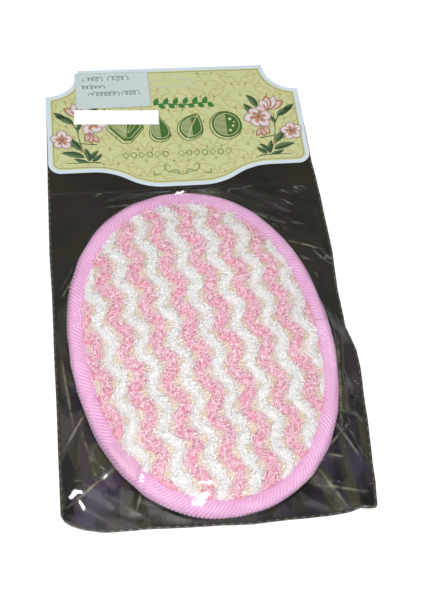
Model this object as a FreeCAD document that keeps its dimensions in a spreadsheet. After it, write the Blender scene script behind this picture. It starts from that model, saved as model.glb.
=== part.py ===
"""Back scrubber pad with its clear retail bag and folded header card, in millimetres.

The pack lies on its back: +X is to the right, +Y runs from the bottom of the bag to the header
card, and +Z is up, out of the scrubbing face. The origin is the centre of the box on the surface
that the pack lies on. Sizes along Y are first laid out from the bottom corners of the bag.
"""
import FreeCAD, Part
import math
import os
import Sketcher
from FreeCAD import Vector

doc = FreeCAD.newDocument("BackScrubber")
sheet = doc.addObject("Spreadsheet::Sheet", "Sizes")
nodes = []


# ---------------------------------------------------------------- driving dimensions

class Dim:
    """A number that also knows its spreadsheet expression."""

    def __init__(self, value, text):
        self.value = value
        self.text = text

    def __add__(self, other):
        other = as_dim(other)
        return Dim(self.value + other.value, f"({self.text} + {other.text})")

    def __sub__(self, other):
        other = as_dim(other)
        return Dim(self.value - other.value, f"({self.text} - {other.text})")

    def __mul__(self, other):
        other = as_dim(other)
        return Dim(self.value * other.value, f"({self.text} * {other.text})")

    def __truediv__(self, other):
        other = as_dim(other)
        return Dim(self.value / other.value, f"({self.text} / {other.text})")

    def __neg__(self):
        return Dim(-self.value, f"(0 - {self.text})")


def as_dim(number):
    return number if isinstance(number, Dim) else Dim(float(number), str(float(number)))


def root(length):
    return Dim(math.sqrt(length.value), f"sqrt({length.text})")


def size(alias, value, meaning):
    """Add one driving dimension to the sheet, with its alias and what it measures."""
    row = size.rows = getattr(size, "rows", 0) + 1
    sheet.set(f"A{row}", alias)
    sheet.set(f"B{row}", str(value))
    sheet.set(f"C{row}", meaning)
    sheet.setAlias(f"B{row}", alias)
    return Dim(value, f"Sizes.{alias}")


# pack
bag_width = size("bag_width", 165.0, "over both side welds")
bag_mouth = size("bag_mouth", 276.0, "bottom corners to the cut mouth, under the card")
bag_bulge = size("bag_bulge", 9.8, "how far the bottom weld bows out past the corners")
film = size("film_thickness", 0.2, "one film, thicker than the real one so that it is a solid")
weld = size("weld_width", 1.5, "width of each welded edge")
step_low = size("step_low", 200.8, "where the films start to rise between the card's panels")
step_high = size("step_high", 202.2, "where that rise ends")

# scrubber pad, an ellipse that leans a little to the left
pad_long = size("pad_half_length", 100.2, "half of the pad's length")
pad_short = size("pad_half_width", 73.0, "half of the pad's width")
pad_x = size("pad_centre_x", -1.7, "pad centre, to the right of the pack's middle")
pad_y = size("pad_centre_y", 93.5, "pad centre, above the bag's bottom corners")
pad_lean = size("pad_lean", 6.9, "degrees that the pad leans to the left")
rim_radius = size("rim_radius", 4.9, "radius of the rolled binding")
rim_height = size("rim_height", 5.4, "height of the binding's middle")
tape = size("tape_thickness", 1.0, "thickness of the binding tape")
tape_end = size("tape_end_thickness", 0.5, "end of the tape that laps over its start")
tape_gap = size("tape_gap", 0.05, "between the tape's two ends")
lap_reach = size("lap_reach", 1.2, "how far the lap passes the top of the rolled binding")
lap_x = size("lap_x", -54.5, "middle of the lap, to the right of the pad's centre")
lap_y = size("lap_y", -57.5, "middle of the lap, above the pad's centre")
lap_size = size("lap_size", 14.0, "square of the binding that the lap takes up")
rim_mouth = size("rim_mouth", 3.0, "gap in the binding that takes the pinched layers")
face_inset = size("face_inset", 10.0, "pad edge to where the face shows inside the binding")
back_plane = size("back_plane", 2.0, "height of the pad's back")
back_cloth_thickness = size("back_cloth_thickness", 1.4, "terry cloth on the back")
foam_rise = size("foam_rise", 12.2, "dome of the foam over the binding's middle")
cloth_thickness = size("cloth_thickness", 0.9, "ground cloth of the face")
yarn_rise = size("yarn_rise", 2.8, "height of the looped yarn rows over the ground cloth")

# looped yarn rows of the face
row_pitch = size("row_pitch", 18.0, "from one white row to the next")
row_width = size("row_width", 6.9, "width of a row")
row_lean = size("row_lean", 3.9, "degrees that the rows lean to the left of the pad's axis")
row_shift = size("row_shift", 3.6, "middle white row, to the right of the pad's centre")
wave_length = size("wave_length", 22.4, "length of one wave of a row")
wave_height = size("wave_height", 2.7, "how far a wave swings to each side")
wave_start = size("wave_start", 11.0, "first swing to the right, above the pad's centre")
WHITE_ROWS = 7
PINK_ROWS = 8

# hand strap on the back
strap_width = size("strap_width", 30.0, "elastic band, across the hand")
strap_thickness = size("strap_thickness", 1.3, "elastic band")
strap_free = size("strap_free_length", 98.0, "stretch of the band that lifts")
strap_end = size("strap_end_length", 11.0, "sewn end of the band")
strap_gap = size("strap_gap", 0.2, "between the lifting stretch and a sewn end")
thread_radius = size("thread_radius", 0.3, "sewing thread")
stitch_pitch = size("stitch_pitch", 5.0, "from one stitch to the next")
stitch_length = size("stitch_length", 4.0, "visible part of one stitch")
stitch_angle = size("stitch_angle", 55.0, "degrees up the binding's inner side to the stitches")
tack_length = size("tack_length", 26.0, "bar tack across the strap")
tack_width = size("tack_width", 1.2, "bar tack")
tack_height = size("tack_height", 0.3, "bar tack, over the band")

# front film where it bulges over the pad, an ellipse at its foot
tent_long = size("tent_half_length", 104.2, "half length of the bulge's foot")
tent_short = size("tent_half_width", 79.0, "half width of the bulge's foot")
tent_y = size("tent_centre_y", 96.1, "centre of the bulge's foot, above the bottom corners")
TENT_SECTIONS = [(size(f"tent_height_{number}", height, "height of a level of the bulge"),
                  size(f"tent_inset_{number}", inset, "how far that level is inside the pad's edge"))
                 for number, (height, inset) in enumerate(
                     [(6.0, -0.8), (10.3, 0.9), (11.9, 4.2), (17.4, 20.3), (20.4, 41.3), (22.6, 65.0)])]

# header card
card = size("card_thickness", 0.35, "one panel")
card_width = size("card_width", 165.0, "over the straight sides")
card_top = size("card_top", 297.0, "folded top edge")
card_top_width = size("card_top_width", 123.0, "folded top edge")
shoulder_y = size("shoulder_y", 276.0, "where the concave shoulder meets the side")
shoulder_radius = size("shoulder_radius", 20.5, "concave shoulder")
card_low = size("card_low", 215.8, "straight part of the lower edge")
card_corner = size("card_corner", 8.0, "lower corner radius")
tongue_low = size("tongue_low", 202.7, "lowest part of the curved lower edge")
tongue_flat = size("tongue_flat", 24.0, "straight middle of the lower edge")
tongue_width = size("tongue_width", 112.0, "over both curved stretches")
glue = size("glue_thickness", 0.1, "adhesive strip")
glue_low = size("glue_low", 240.0, "lower edge of the adhesive strips")
glue_height = size("glue_height", 12.0, "adhesive strip")
glue_width = size("glue_width", 120.0, "adhesive strip")

# hang slot and its plug
slot_low = size("slot_low", 281.0, "lower edge of the hang slot")
slot_width = size("slot_width", 27.0, "hang slot")
wing_height = size("slot_wing_height", 6.0, "rounded end of the hang slot")
slot_top = size("slot_top", 291.0, "top of the slot's middle")
crown_width = size("slot_crown_width", 9.0, "middle of the slot")
slot_gap = size("slot_gap", 0.15, "cut between the plug and the card")

# stickers
label_thickness = size("label_thickness", 0.1, "paper sticker")
price_width = size("price_width", 48.0, "price label")
price_height = size("price_height", 29.0, "price label")
price_x = size("price_x", -39.6, "centre of the price label")
price_y = size("price_y", 279.6, "centre of the price label")
price_corner = size("price_corner", 2.0, "corner radius of the price label")
strip_width = size("strip_width", 54.0, "blank strip label")
strip_height = size("strip_height", 11.4, "blank strip label")
strip_x = size("strip_x", -38.3, "centre of the strip label")
strip_y = size("strip_y", 257.3, "centre of the strip label")
strip_turn = size("strip_turn", -3.0, "degrees that the strip label is turned")

# shapes that only trim others are all this high
clear_height = size("clear_height", 40.0, "more than the height of the whole pack")

# the folded card with the bag in it, the middle of the box, and the films inside their welds
card_stack = card * 2.0 + glue * 2.0 + film * 2.0
middle_y = (card_top - bag_bulge) / 2.0
half_bag = bag_width / 2.0 - weld


# ---------------------------------------------------------------- helpers

def bind(thing, prop, length):
    thing.setExpression(prop, as_dim(length).text)


def place(thing, x=0.0, y=0.0, z=0.0, turn=None):
    """Put a thing at x, y, z, turned about the vertical, from sheet expressions."""
    if turn is not None:
        thing.Placement = FreeCAD.Placement(Vector(), FreeCAD.Rotation(Vector(0, 0, 1), 1.0))
        bind(thing, "Placement.Rotation.Angle", turn)
    for axis, length in zip("xyz", (x, y, z)):
        bind(thing, f"Placement.Base.{axis}", length)


def node(thing, name):
    """Name one physical piece of the pack; its label is also its file's name."""
    thing.Label = name
    nodes.append(thing)


def pack_node(thing, name, x=0.0, y=0.0, z=0.0, turn=None):
    """A node laid out from the bag's bottom corners."""
    place(thing, x, as_dim(y) - middle_y, z, turn)
    node(thing, name)


def pad_node(thing, name, z=0.0):
    """A node laid out from the pad's own centre, its length along Y."""
    place(thing, pad_x, pad_y - middle_y, z, pad_lean)
    node(thing, name)


def plane_of(body, role):
    return next(item for item in body.Origin.OriginFeatures if item.Role == role)


def new_sketch(body, name, role="XY_Plane"):
    sketch = body.newObject("Sketcher::SketchObject", name)
    sketch.AttachmentSupport = (plane_of(body, role), [""])
    sketch.MapMode = "FlatFace"
    return sketch


def pin_point(sketch, geometry, end, x, y):
    """Hold one end of a sketch element at a pair of sheet lengths from the origin."""
    for kind, axis, length in (("DistanceX", -2, x), ("DistanceY", -1, y)):
        length = as_dim(length)
        if abs(length.value) < 1e-9:
            sketch.addConstraint(Sketcher.Constraint("PointOnObject", geometry, end, axis))
            continue
        index = sketch.addConstraint(
            Sketcher.Constraint(kind, -1, 1, geometry, end, length.value))
        sketch.setExpression(f"Constraints[{index}]", length.text)


def arc_between(start, end, radius):
    """Arc from start to end; a positive radius turns left, a negative one turns right."""
    chord = end - start
    length = chord.Length
    left = Vector(-chord.y, chord.x, 0) / length
    reach = math.sqrt(max(radius * radius - length * length / 4, 0.0))
    centre = start + chord / 2 + left * math.copysign(reach, radius)
    first, last = (start, end) if radius > 0 else (end, start)
    angles = [math.atan2(p.y - centre.y, p.x - centre.x) for p in (first, last)]
    circle = Part.Circle(centre, Vector(0, 0, 1), abs(radius))
    return Part.ArcOfCircle(circle, angles[0], angles[1])


def closed_profile(sketch, corners):
    """Draw a closed outline. Each corner is (x, y) or (x, y, radius of the arc that leaves it)."""
    count = len(corners)
    ends = []
    for number, corner in enumerate(corners):
        pair = (corner, corners[(number + 1) % count])
        start, stop = [Vector(as_dim(c[0]).value, as_dim(c[1]).value, 0) for c in pair]
        if len(corner) == 2:
            index = sketch.addGeometry(Part.LineSegment(start, stop), False)
            ends.append((index, 1, 2))
        else:
            radius = as_dim(corner[2]).value
            index = sketch.addGeometry(arc_between(start, stop, radius), False)
            ends.append((index, 1, 2) if radius > 0 else (index, 2, 1))
    for number, (index, first, last) in enumerate(ends):
        following = ends[(number + 1) % count]
        sketch.addConstraint(
            Sketcher.Constraint("Coincident", index, last, following[0], following[1]))
    for corner, (index, first, last) in zip(corners, ends):
        pin_point(sketch, index, first, corner[0], corner[1])
        if len(corner) == 3:
            radius = as_dim(corner[2])
            number = sketch.addConstraint(
                Sketcher.Constraint("Radius", index, abs(radius.value)))
            sketch.setExpression(f"Constraints[{number}]", f"abs({radius.text})")


def plate(name, outlines, thickness, role="XY_Plane", both_ways=False):
    """A flat body padded from one or more closed outlines."""
    body = doc.addObject("PartDesign::Body", name)
    sketch = new_sketch(body, name + "_outline", role)
    for corners in outlines:
        closed_profile(sketch, corners)
    pad = body.newObject("PartDesign::Pad", name + "_pad")
    pad.Profile = sketch
    pad.Midplane = both_ways
    bind(pad, "Length", thickness)
    return body


def pocket_through(body, name, corners, role="XY_Plane"):
    """Pocket a closed outline right through a body: upwards, or both ways from its middle."""
    sketch = new_sketch(body, name + "_outline", role)
    closed_profile(sketch, corners)
    pocket = body.newObject("PartDesign::Pocket", name)
    pocket.Profile = sketch
    pocket.Type = "ThroughAll"
    pocket.Reversed = role == "XY_Plane"
    pocket.Midplane = role != "XY_Plane"


def rectangle(x, y, width, height, radius=None):
    """Outline of a rectangle about x, y, with rounded corners if a radius is given."""
    left, right = as_dim(x) - width / 2, as_dim(x) + width / 2
    low, high = as_dim(y) - height / 2, as_dim(y) + height / 2
    if radius is None:
        return [(left, low), (right, low), (right, high), (left, high)]
    return [(left + radius, low), (right - radius, low, radius),
            (right, low + radius), (right, high - radius, radius),
            (right - radius, high), (left + radius, high, radius),
            (left, high - radius), (left, low + radius, radius)]


def boolean(kind, name, first, second):
    thing = doc.addObject("Part::" + kind, name)
    thing.Base = first
    thing.Tool = second
    return thing


def ellipse(name, half_length, half_width, x=0.0, y=0.0, z=0.0, lean=0.0):
    """Ellipse in a level plane, its long axis along Y before it leans."""
    thing = doc.addObject("Part::Ellipse", name)
    bind(thing, "MajorRadius", half_length)
    bind(thing, "MinorRadius", half_width)
    place(thing, x, y, z, as_dim(lean) + 90.0)
    return thing


def prism(name, base, rise):
    thing = doc.addObject("Part::Extrusion", name)
    thing.Base = base
    thing.DirMode = "Custom"
    thing.Dir = Vector(0, 0, 1)
    thing.Solid = True
    bind(thing, "LengthFwd", rise)
    return thing


def oval_prism(name, inset, z, rise):
    """Upright prism over the pad's ellipse, inset from the pad's edge."""
    base = ellipse(name + "_base", pad_long - inset, pad_short - inset, z=z)
    return prism(name, base, rise)


def dome(name, inset, rise):
    """Ellipsoid about the binding's middle height, over the pad's ellipse."""
    thing = doc.addObject("Part::Ellipsoid", name)
    bind(thing, "Radius1", rise)
    bind(thing, "Radius2", pad_short - inset)
    bind(thing, "Radius3", pad_long - inset)
    place(thing, z=rim_height)
    return thing


# ---------------------------------------------------------------- bag

def bow_radius(half_span):
    """Radius of the bag's bowed bottom over a half span."""
    return (half_span * half_span + bag_bulge * bag_bulge) / (bag_bulge * 2.0)


def stepped_strip(name, lift, thickness, width):
    """A film seen from the side: level, then a small step up between the card's two panels."""
    low, high = lift, lift + card + glue
    line = [(-bag_bulge, low), (step_low, low), (step_high, high), (bag_mouth, high)]
    upper = [(y, z + thickness) for y, z in reversed(line)]
    return plate(name, [line + upper], width, "YZ_Plane", both_ways=True)


def bag_plan(name):
    """The bag inside its welds, seen from above, tall enough to cut any film to shape."""
    corners = [(-half_bag, weld, bow_radius(half_bag)), (half_bag, weld),
               (half_bag, bag_mouth), (-half_bag, bag_mouth)]
    return plate(name, [corners], clear_height)


def tent(name, swell):
    """The space under the bulging front film, grown by swell at its sides and top."""
    sections = [ellipse(f"{name}_foot", tent_long + swell, tent_short + swell, y=tent_y, z=film)]
    for number, (height, inset) in enumerate(TENT_SECTIONS):
        sections.append(ellipse(f"{name}_section_{number}", pad_long - inset + swell,
                                pad_short - inset + swell, pad_x, pad_y, height + swell, pad_lean))
    thing = doc.addObject("Part::Loft", name)
    thing.Sections = sections
    thing.Solid = True
    thing.Ruled = True
    return thing


rear_sheet = stepped_strip("rear_sheet", as_dim(0.0), film, half_bag * 2.0)
pack_node(boolean("Common", "rear_film", rear_sheet, bag_plan("rear_plan")), "bag_rear_film")

front_level = stepped_strip("front_level", film, film, half_bag * 2.0)
front_sheet = boolean("Common", "front_sheet", front_level, bag_plan("front_plan"))
foot = prism("tent_opening", ellipse("tent_opening_base", tent_long, tent_short, y=tent_y), clear_height)
front_edge = boolean("Cut", "front_edge", front_sheet, foot)
shell = boolean("Cut", "tent_shell", tent("tent_outside", film), tent("tent_inside", as_dim(0.0)))
pack_node(boolean("Fuse", "front_film", front_edge, shell), "bag_front_film")

for side, sign in (("left", -1.0), ("right", 1.0)):
    seal = stepped_strip(f"seal_{side}", as_dim(0.0), film * 2.0, weld)
    stretch = rectangle(0.0, (bag_mouth + weld) / 2.0, weld, bag_mouth - weld)
    trim = plate(f"seal_{side}_trim", [stretch], clear_height)
    pack_node(boolean("Common", f"seal_{side}_strip", seal, trim), f"bag_seal_{side}",
              x=(half_bag + weld / 2.0) * sign)

bottom_seal = [(-bag_width / 2.0, 0.0, bow_radius(bag_width / 2.0)), (bag_width / 2.0, 0.0),
               (bag_width / 2.0, weld), (half_bag, weld, -bow_radius(half_bag)),
               (-half_bag, weld), (-bag_width / 2.0, weld)]
pack_node(plate("seal_bottom", [bottom_seal], film * 2.0), "bag_seal_bottom")


# ---------------------------------------------------------------- scrubber pad

def rim_sketch(name, corners):
    """An upright section on the pad's short side, about the middle of the rolled binding."""
    sketch = doc.addObject("Sketcher::SketchObject", name)
    sketch.Placement = FreeCAD.Placement(Vector(), FreeCAD.Rotation(Vector(1, 0, 0), 90))
    bind(sketch, "Placement.Base.x", pad_short - rim_radius)
    bind(sketch, "Placement.Base.z", rim_height)
    closed_profile(sketch, corners)
    return sketch


def binding_corners(inner, outer):
    """Rolled tape, open towards the pad's middle to take the pinched layers."""
    lip = rim_mouth / 2.0
    outer_lip = -root(outer * outer - lip * lip)
    inner_lip = -root(inner * inner - lip * lip)
    return [(outer_lip, -lip, outer), (outer, 0.0, outer), (outer_lip, lip),
            (inner_lip, lip, -inner), (inner, 0.0, -inner), (inner_lip, -lip)]


def lap_corners(inner, outer):
    """End of the tape, from the outside of the binding to just past its top."""
    return [(outer, 0.0, outer), (-lap_reach, root(outer * outer - lap_reach * lap_reach)),
            (-lap_reach, root(inner * inner - lap_reach * lap_reach), -inner), (inner, 0.0)]


def rim_sweep(name, corners):
    """Carry a section all the way round the pad."""
    thing = doc.addObject("Part::Sweep", name)
    path = ellipse(name + "_path", pad_long - rim_radius, pad_short - rim_radius, z=rim_height)
    thing.Sections = [rim_sketch(name + "_section", corners)]
    thing.Spine = (path, ["Edge1"])
    thing.Solid = True
    thing.Frenet = True
    return thing


def layer(name, lower, upper, trim):
    """The space between two domes, inside the binding."""
    return boolean("Common", name, boolean("Cut", name + "_shell", upper, lower), trim)


def wavy_edge(offset, from_axis, half_length):
    """One edge of a row: a wave along Y at a distance from the row's axis."""
    quarter = wave_length.value / 4
    steps = math.ceil(half_length / quarter)
    points = []
    for step in range(-steps, steps + 1):
        along = step * quarter + wave_start.value
        swing = wave_height.value * math.cos(2 * math.pi * step / 4)
        points.append(Vector(offset + from_axis + swing, along, 0))
    curve = Part.BSplineCurve()
    curve.interpolate(points)
    return curve.toShape()


def wavy_row(name, offset):
    """Upright wavy wall along the pad, from which one yarn row is cut."""
    half_width = row_width.value / 2
    half_length = pad_long.value + wave_length.value
    left = wavy_edge(offset, -half_width, half_length)
    right = wavy_edge(offset, half_width, half_length)
    ends = [Part.LineSegment(left.Vertexes[i].Point, right.Vertexes[i].Point).toShape() for i in (0, 1)]
    base = doc.addObject("Part::Feature", name + "_outline")
    base.Shape = Part.Face(Part.Wire(Part.__sortEdges__([left, right] + ends)))
    place(base, turn=row_lean)
    return prism(name + "_wall", base, clear_height)


def yarn_row(name, steps_from_middle):
    """One row of looped yarn, standing on the ground cloth."""
    wall = wavy_row(name, row_shift.value + steps_from_middle * row_pitch.value)
    pad_node(boolean("Common", name + "_loops", yarn_layer, wall), name)


def stitch_ring(name, sign):
    """Stitches that hold the binding, in a ring in the crease on one side of the pad."""
    angle = math.radians(stitch_angle.value)
    reach = rim_radius.value + thread_radius.value + tape_gap.value
    inset = rim_radius.value + reach * math.cos(angle)
    height = rim_height.value + sign * reach * math.sin(angle)
    path = Part.Ellipse(Vector(0, 0, height), pad_long.value - inset, pad_short.value - inset)
    edge = path.toShape()
    count = round(edge.Length / stitch_pitch.value)
    points = edge.discretize(Number=count + 1)
    stitches = []
    for start, stop in zip(points[:-1], points[1:]):
        run = stop - start
        tail = start + run * (1 - stitch_length.value / stitch_pitch.value) / 2
        stitches.append(Part.makeCylinder(thread_radius.value, stitch_length.value, tail, run))
    thing = doc.addObject("Part::Feature", name + "_ring")
    thing.Shape = Part.makeCompound(stitches)
    place(thing, pad_x, pad_y - middle_y, 0.0, pad_lean + 90.0)
    node(thing, name)


inside = oval_prism("face_trim", face_inset, rim_height + rim_mouth / 2.0, clear_height)
foam_dome = dome("foam_dome", rim_radius, foam_rise)
cloth_dome = dome("cloth_dome", rim_radius - cloth_thickness, foam_rise + cloth_thickness)
yarn_inset = rim_radius - cloth_thickness - yarn_rise / 2.0
yarn_dome = dome("yarn_dome", yarn_inset, foam_rise + cloth_thickness + yarn_rise)

back_high = back_plane + back_cloth_thickness
foam_body = boolean("Common", "foam_body", foam_dome,
                    oval_prism("foam_trim", face_inset, back_high, clear_height))
foam_edge = oval_prism("foam_edge", rim_radius, rim_height - rim_mouth / 2.0, rim_mouth)
pad_node(boolean("Fuse", "foam", foam_body, foam_edge), "foam_core")
pad_node(layer("ground_cloth", foam_dome, cloth_dome, inside), "face_ground_cloth")
pad_node(oval_prism("terry_back", face_inset, back_plane, back_cloth_thickness), "back_cloth")

yarn_layer = layer("yarn_space", cloth_dome, yarn_dome, inside)
for number in range(WHITE_ROWS):
    yarn_row(f"white_row_{number + 1}", number - (WHITE_ROWS - 1) / 2)
for number in range(PINK_ROWS):
    yarn_row(f"pink_row_{number + 1}", number - (PINK_ROWS - 1) / 2)

pad_node(rim_sweep("binding", binding_corners(rim_radius - tape, rim_radius)), "binding_tape")
lap_inner = rim_radius + tape_gap
lap_ring = rim_sweep("lap_ring", lap_corners(lap_inner, lap_inner + tape_end))
lap_window = plate("lap_window", [rectangle(lap_x, lap_y, lap_size, lap_size)], clear_height)
pad_node(boolean("Common", "lap", lap_ring, lap_window), "binding_end_lap")
stitch_ring("binding_upper_thread", 1)
stitch_ring("binding_lower_thread", -1)


# ---------------------------------------------------------------- hand strap

strap_low = back_plane - strap_thickness
pad_node(plate("band", [rectangle(0.0, 0.0, strap_free, strap_width)], strap_thickness),
         "strap_band", z=strap_low)
for side, sign in (("left", -1.0), ("right", 1.0)):
    middle = (strap_free / 2.0 + strap_end / 2.0 + strap_gap) * sign
    pad_node(plate(f"end_{side}", [rectangle(middle, 0.0, strap_end, strap_width)], strap_thickness),
             f"strap_end_{side}", z=strap_low)
    tacks = [rectangle(middle + strap_end / share, 0.0, tack_width, tack_length) for share in (-4.0, 4.0)]
    pad_node(plate(f"tacks_{side}", tacks, tack_height), f"strap_bar_tacks_{side}",
             z=strap_low - tack_height)


# ---------------------------------------------------------------- header card

def card_outline():
    """Anticlockwise from the lower edge's middle: curved tongue, square sides, hollow shoulders."""
    side = card_width / 2.0
    curve_x = (tongue_width - tongue_flat) / 4.0
    curve_y = (card_low - tongue_low) / 2.0
    bend = (curve_x * curve_x + curve_y * curve_y) / (curve_y * 2.0)
    flat, knee, end = tongue_flat / 2.0, tongue_flat / 2.0 + curve_x, tongue_width / 2.0
    top = card_top_width / 2.0
    right = [(flat, tongue_low, bend), (knee, tongue_low + curve_y, -bend), (end, card_low),
             (side - card_corner, card_low, card_corner), (side, card_low + card_corner),
             (side, shoulder_y, -shoulder_radius), (top, card_top)]
    left = [(-top, card_top, -shoulder_radius), (-side, shoulder_y),
            (-side, card_low + card_corner, card_corner), (-side + card_corner, card_low),
            (-end, card_low, -bend), (-knee, tongue_low + curve_y, bend), (-flat, tongue_low)]
    return right + left


def slot_outline(inset):
    """Hang slot with two rounded ends and a taller round middle, or its plug if inset."""
    end_radius = wing_height / 2.0 - inset
    reach = slot_width / 2.0 - wing_height / 2.0
    low, high = slot_low + inset, slot_low + wing_height - inset
    crown = crown_width / 2.0 - inset
    crown_start = slot_top - inset - crown
    middle = slot_low + wing_height / 2.0
    tip = reach + end_radius
    return [(-reach, low), (reach, low, end_radius), (tip, middle, end_radius), (reach, high),
            (crown, high), (crown, crown_start, crown), (0.0, slot_top - inset, crown),
            (-crown, crown_start), (-crown, high), (-reach, high, end_radius),
            (-tip, middle, end_radius)]


card_body = plate("folded_card", [card_outline()], card_stack)
between = [(tongue_low - card_corner, card), (card_top - card, card),
           (card_top - card, card_stack - card), (tongue_low - card_corner, card_stack - card)]
pocket_through(card_body, "between_panels", between, "YZ_Plane")
pocket_through(card_body, "hang_slot", slot_outline(as_dim(0.0)))
pack_node(card_body, "header_card")

for side, lift in (("rear", as_dim(0.0)), ("front", card_stack - card)):
    pack_node(plate(f"plug_{side}", [slot_outline(slot_gap)], card), f"hang_plug_{side}", z=lift)

glue_area = rectangle(0.0, glue_low + glue_height / 2.0, glue_width, glue_height)
for side, lift in (("rear", card), ("front", card + glue + film * 2.0)):
    pack_node(plate(f"glue_{side}", [glue_area], glue), f"adhesive_{side}", z=lift)

price_area = rectangle(0.0, 0.0, price_width, price_height, price_corner)
pack_node(plate("price_paper", [price_area], label_thickness), "price_label",
          price_x, price_y, card_stack)
strip_area = rectangle(0.0, 0.0, strip_width, strip_height)
pack_node(plate("strip_paper", [strip_area], label_thickness), "strip_label",
          strip_x, strip_y, card_stack, strip_turn)


# ---------------------------------------------------------------- checks and export

doc.recompute()
for thing in doc.Objects:
    if "Invalid" in thing.State or "Error" in thing.State:
        raise RuntimeError(f"{thing.Label} failed to build: {thing.State}")
for thing in nodes:
    if thing.Shape.isNull() or not thing.Shape.isValid() or thing.Shape.Volume <= 0:
        raise RuntimeError(f"{thing.Label} isn't a valid solid")

os.makedirs("parts", exist_ok=True)
for thing in nodes:
    thing.Shape.exportStep(f"parts/{thing.Label}.step")
    print(f"{thing.Label}: {thing.Shape.Volume:.1f} mm3, {len(thing.Shape.Solids)} solids")
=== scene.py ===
"""Looks of a bath scrubber pad in its clear retail bag with a header card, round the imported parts.

Lengths are in millimetres in the functions and turned into metres when a mesh is made. The pack
lies on its back: +X is to the right, +Y runs from the bottom of the bag to the header card.
Outlines of the bag and card are laid out from the bottom corners of the bag, as BAG_FOOT says.
Noise and yarn are seeded, and the last number of a noise2 call is its seed.
"""
import math
import bmesh
import bpy
import numpy as np
from mathutils import Matrix, Vector
from mathutils.geometry import tessellate_polygon

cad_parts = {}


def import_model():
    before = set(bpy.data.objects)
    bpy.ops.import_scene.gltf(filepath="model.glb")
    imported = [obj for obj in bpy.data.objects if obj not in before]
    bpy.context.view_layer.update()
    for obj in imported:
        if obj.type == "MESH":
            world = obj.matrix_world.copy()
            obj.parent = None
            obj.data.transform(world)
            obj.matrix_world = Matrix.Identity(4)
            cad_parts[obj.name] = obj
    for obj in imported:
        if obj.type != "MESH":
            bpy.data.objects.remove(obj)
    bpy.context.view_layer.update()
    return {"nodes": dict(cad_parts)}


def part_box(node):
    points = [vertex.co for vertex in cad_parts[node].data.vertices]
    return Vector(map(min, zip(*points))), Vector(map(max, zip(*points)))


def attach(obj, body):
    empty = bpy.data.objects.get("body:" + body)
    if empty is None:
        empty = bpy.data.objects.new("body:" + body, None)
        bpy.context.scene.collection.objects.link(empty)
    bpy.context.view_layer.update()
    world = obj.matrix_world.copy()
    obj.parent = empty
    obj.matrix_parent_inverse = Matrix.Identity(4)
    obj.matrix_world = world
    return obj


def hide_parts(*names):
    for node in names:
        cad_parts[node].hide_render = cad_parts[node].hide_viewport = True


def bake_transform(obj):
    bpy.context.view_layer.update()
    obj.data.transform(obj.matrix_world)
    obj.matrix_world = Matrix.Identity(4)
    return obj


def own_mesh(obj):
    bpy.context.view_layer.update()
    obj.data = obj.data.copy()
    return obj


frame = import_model()

MM = 0.001                      # one millimetre
STAGE_DROP = 0.05               # floor below the pack, mm
VIEW_PLACE = (-0.0517, -0.2383, 0.4374)     # camera, in metres
LAMP_PLACE = (-0.04, -0.27, 0.47)           # lamp beside it


def box_mm(node):
    """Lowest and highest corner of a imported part, in millimetres."""
    low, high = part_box(node)
    return np.array(low) / MM, np.array(high) / MM


# ---------------------------------------------------------------- sizes

# pad: an ellipse that leans to the left
TAPE_LOW, TAPE_HIGH = box_mm("binding_tape")
PAD_X, PAD_Y = (TAPE_LOW[:2] + TAPE_HIGH[:2]) / 2
PAD_LEAN = math.radians(6.9)
PAD_SHORT, PAD_LONG = 73.0, 100.2
RIM_RADIUS = 4.9
RIM_SHORT, RIM_LONG = PAD_SHORT - RIM_RADIUS, PAD_LONG - RIM_RADIUS     # middle of the binding
RIM_Z = (TAPE_LOW[2] + TAPE_HIGH[2]) / 2
RIB_PITCH, RIB_SLANT = 2.1, 10.5    # puckers of the binding tape, and their slant in radians
LAP_SWEEP, LAP_RISE, LAP_THICKNESS = 0.13, 0.75, 0.5
FACE_INSET = 6.4                # edge of the face, tucked under the binding
CLOTH_INSET, CLOTH_RISE, CLOTH_THICKNESS, CLOTH_DOME = 6.2, 13.1, 0.9, 0.58
CLOTH_RIB = 1.8                 # from one cross rib of the ground cloth to the next
YARN_RISE = 2.9                 # film over the cloth, held up by the yarn
PUFF = 1.9                      # strand of a row over the cloth
FOAM_INSET, BACK_INSET = 6.0, 7.6
BACK_Z, BACK_THICKNESS, BACK_LOOP = 2.0, 1.4, 1.9
STITCH_RADIUS, STITCH_PITCH, STITCH_LENGTH, STITCH_ANGLE = 0.3, 5.0, 4.0, math.radians(55.0)
STRAP_WIDTH, STRAP_THICKNESS, STRAP_FREE, STRAP_END = 30.0, 1.3, 98.0, 11.0
STRAP_Z = BACK_Z - STRAP_THICKNESS
STRAP_RIB, STRAP_CRIMP = 1.5, 2.1
TACK_LENGTH, TACK_WIDTH, TACK_PITCH, TACK_RADIUS = 26.0, 1.2, 0.7, 0.22

# yarn rows: colour, how many, width, radius of an arch and of its yarn, spacing and first seed
YARN_ROWS = [("white", 7, 6.0, 0.9, 0.32, 1.3, 100), ("pink", 8, 6.7, 1.0, 0.34, 1.35, 200)]
ROW_PITCH, ROW_SHIFT = 18.0, 3.6
ROW_LEAN = math.radians(3.9)    # more than the pad
WAVE_LENGTH, WAVE_HEIGHT, WAVE_START = 22.4, 2.5, 11.0

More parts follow.
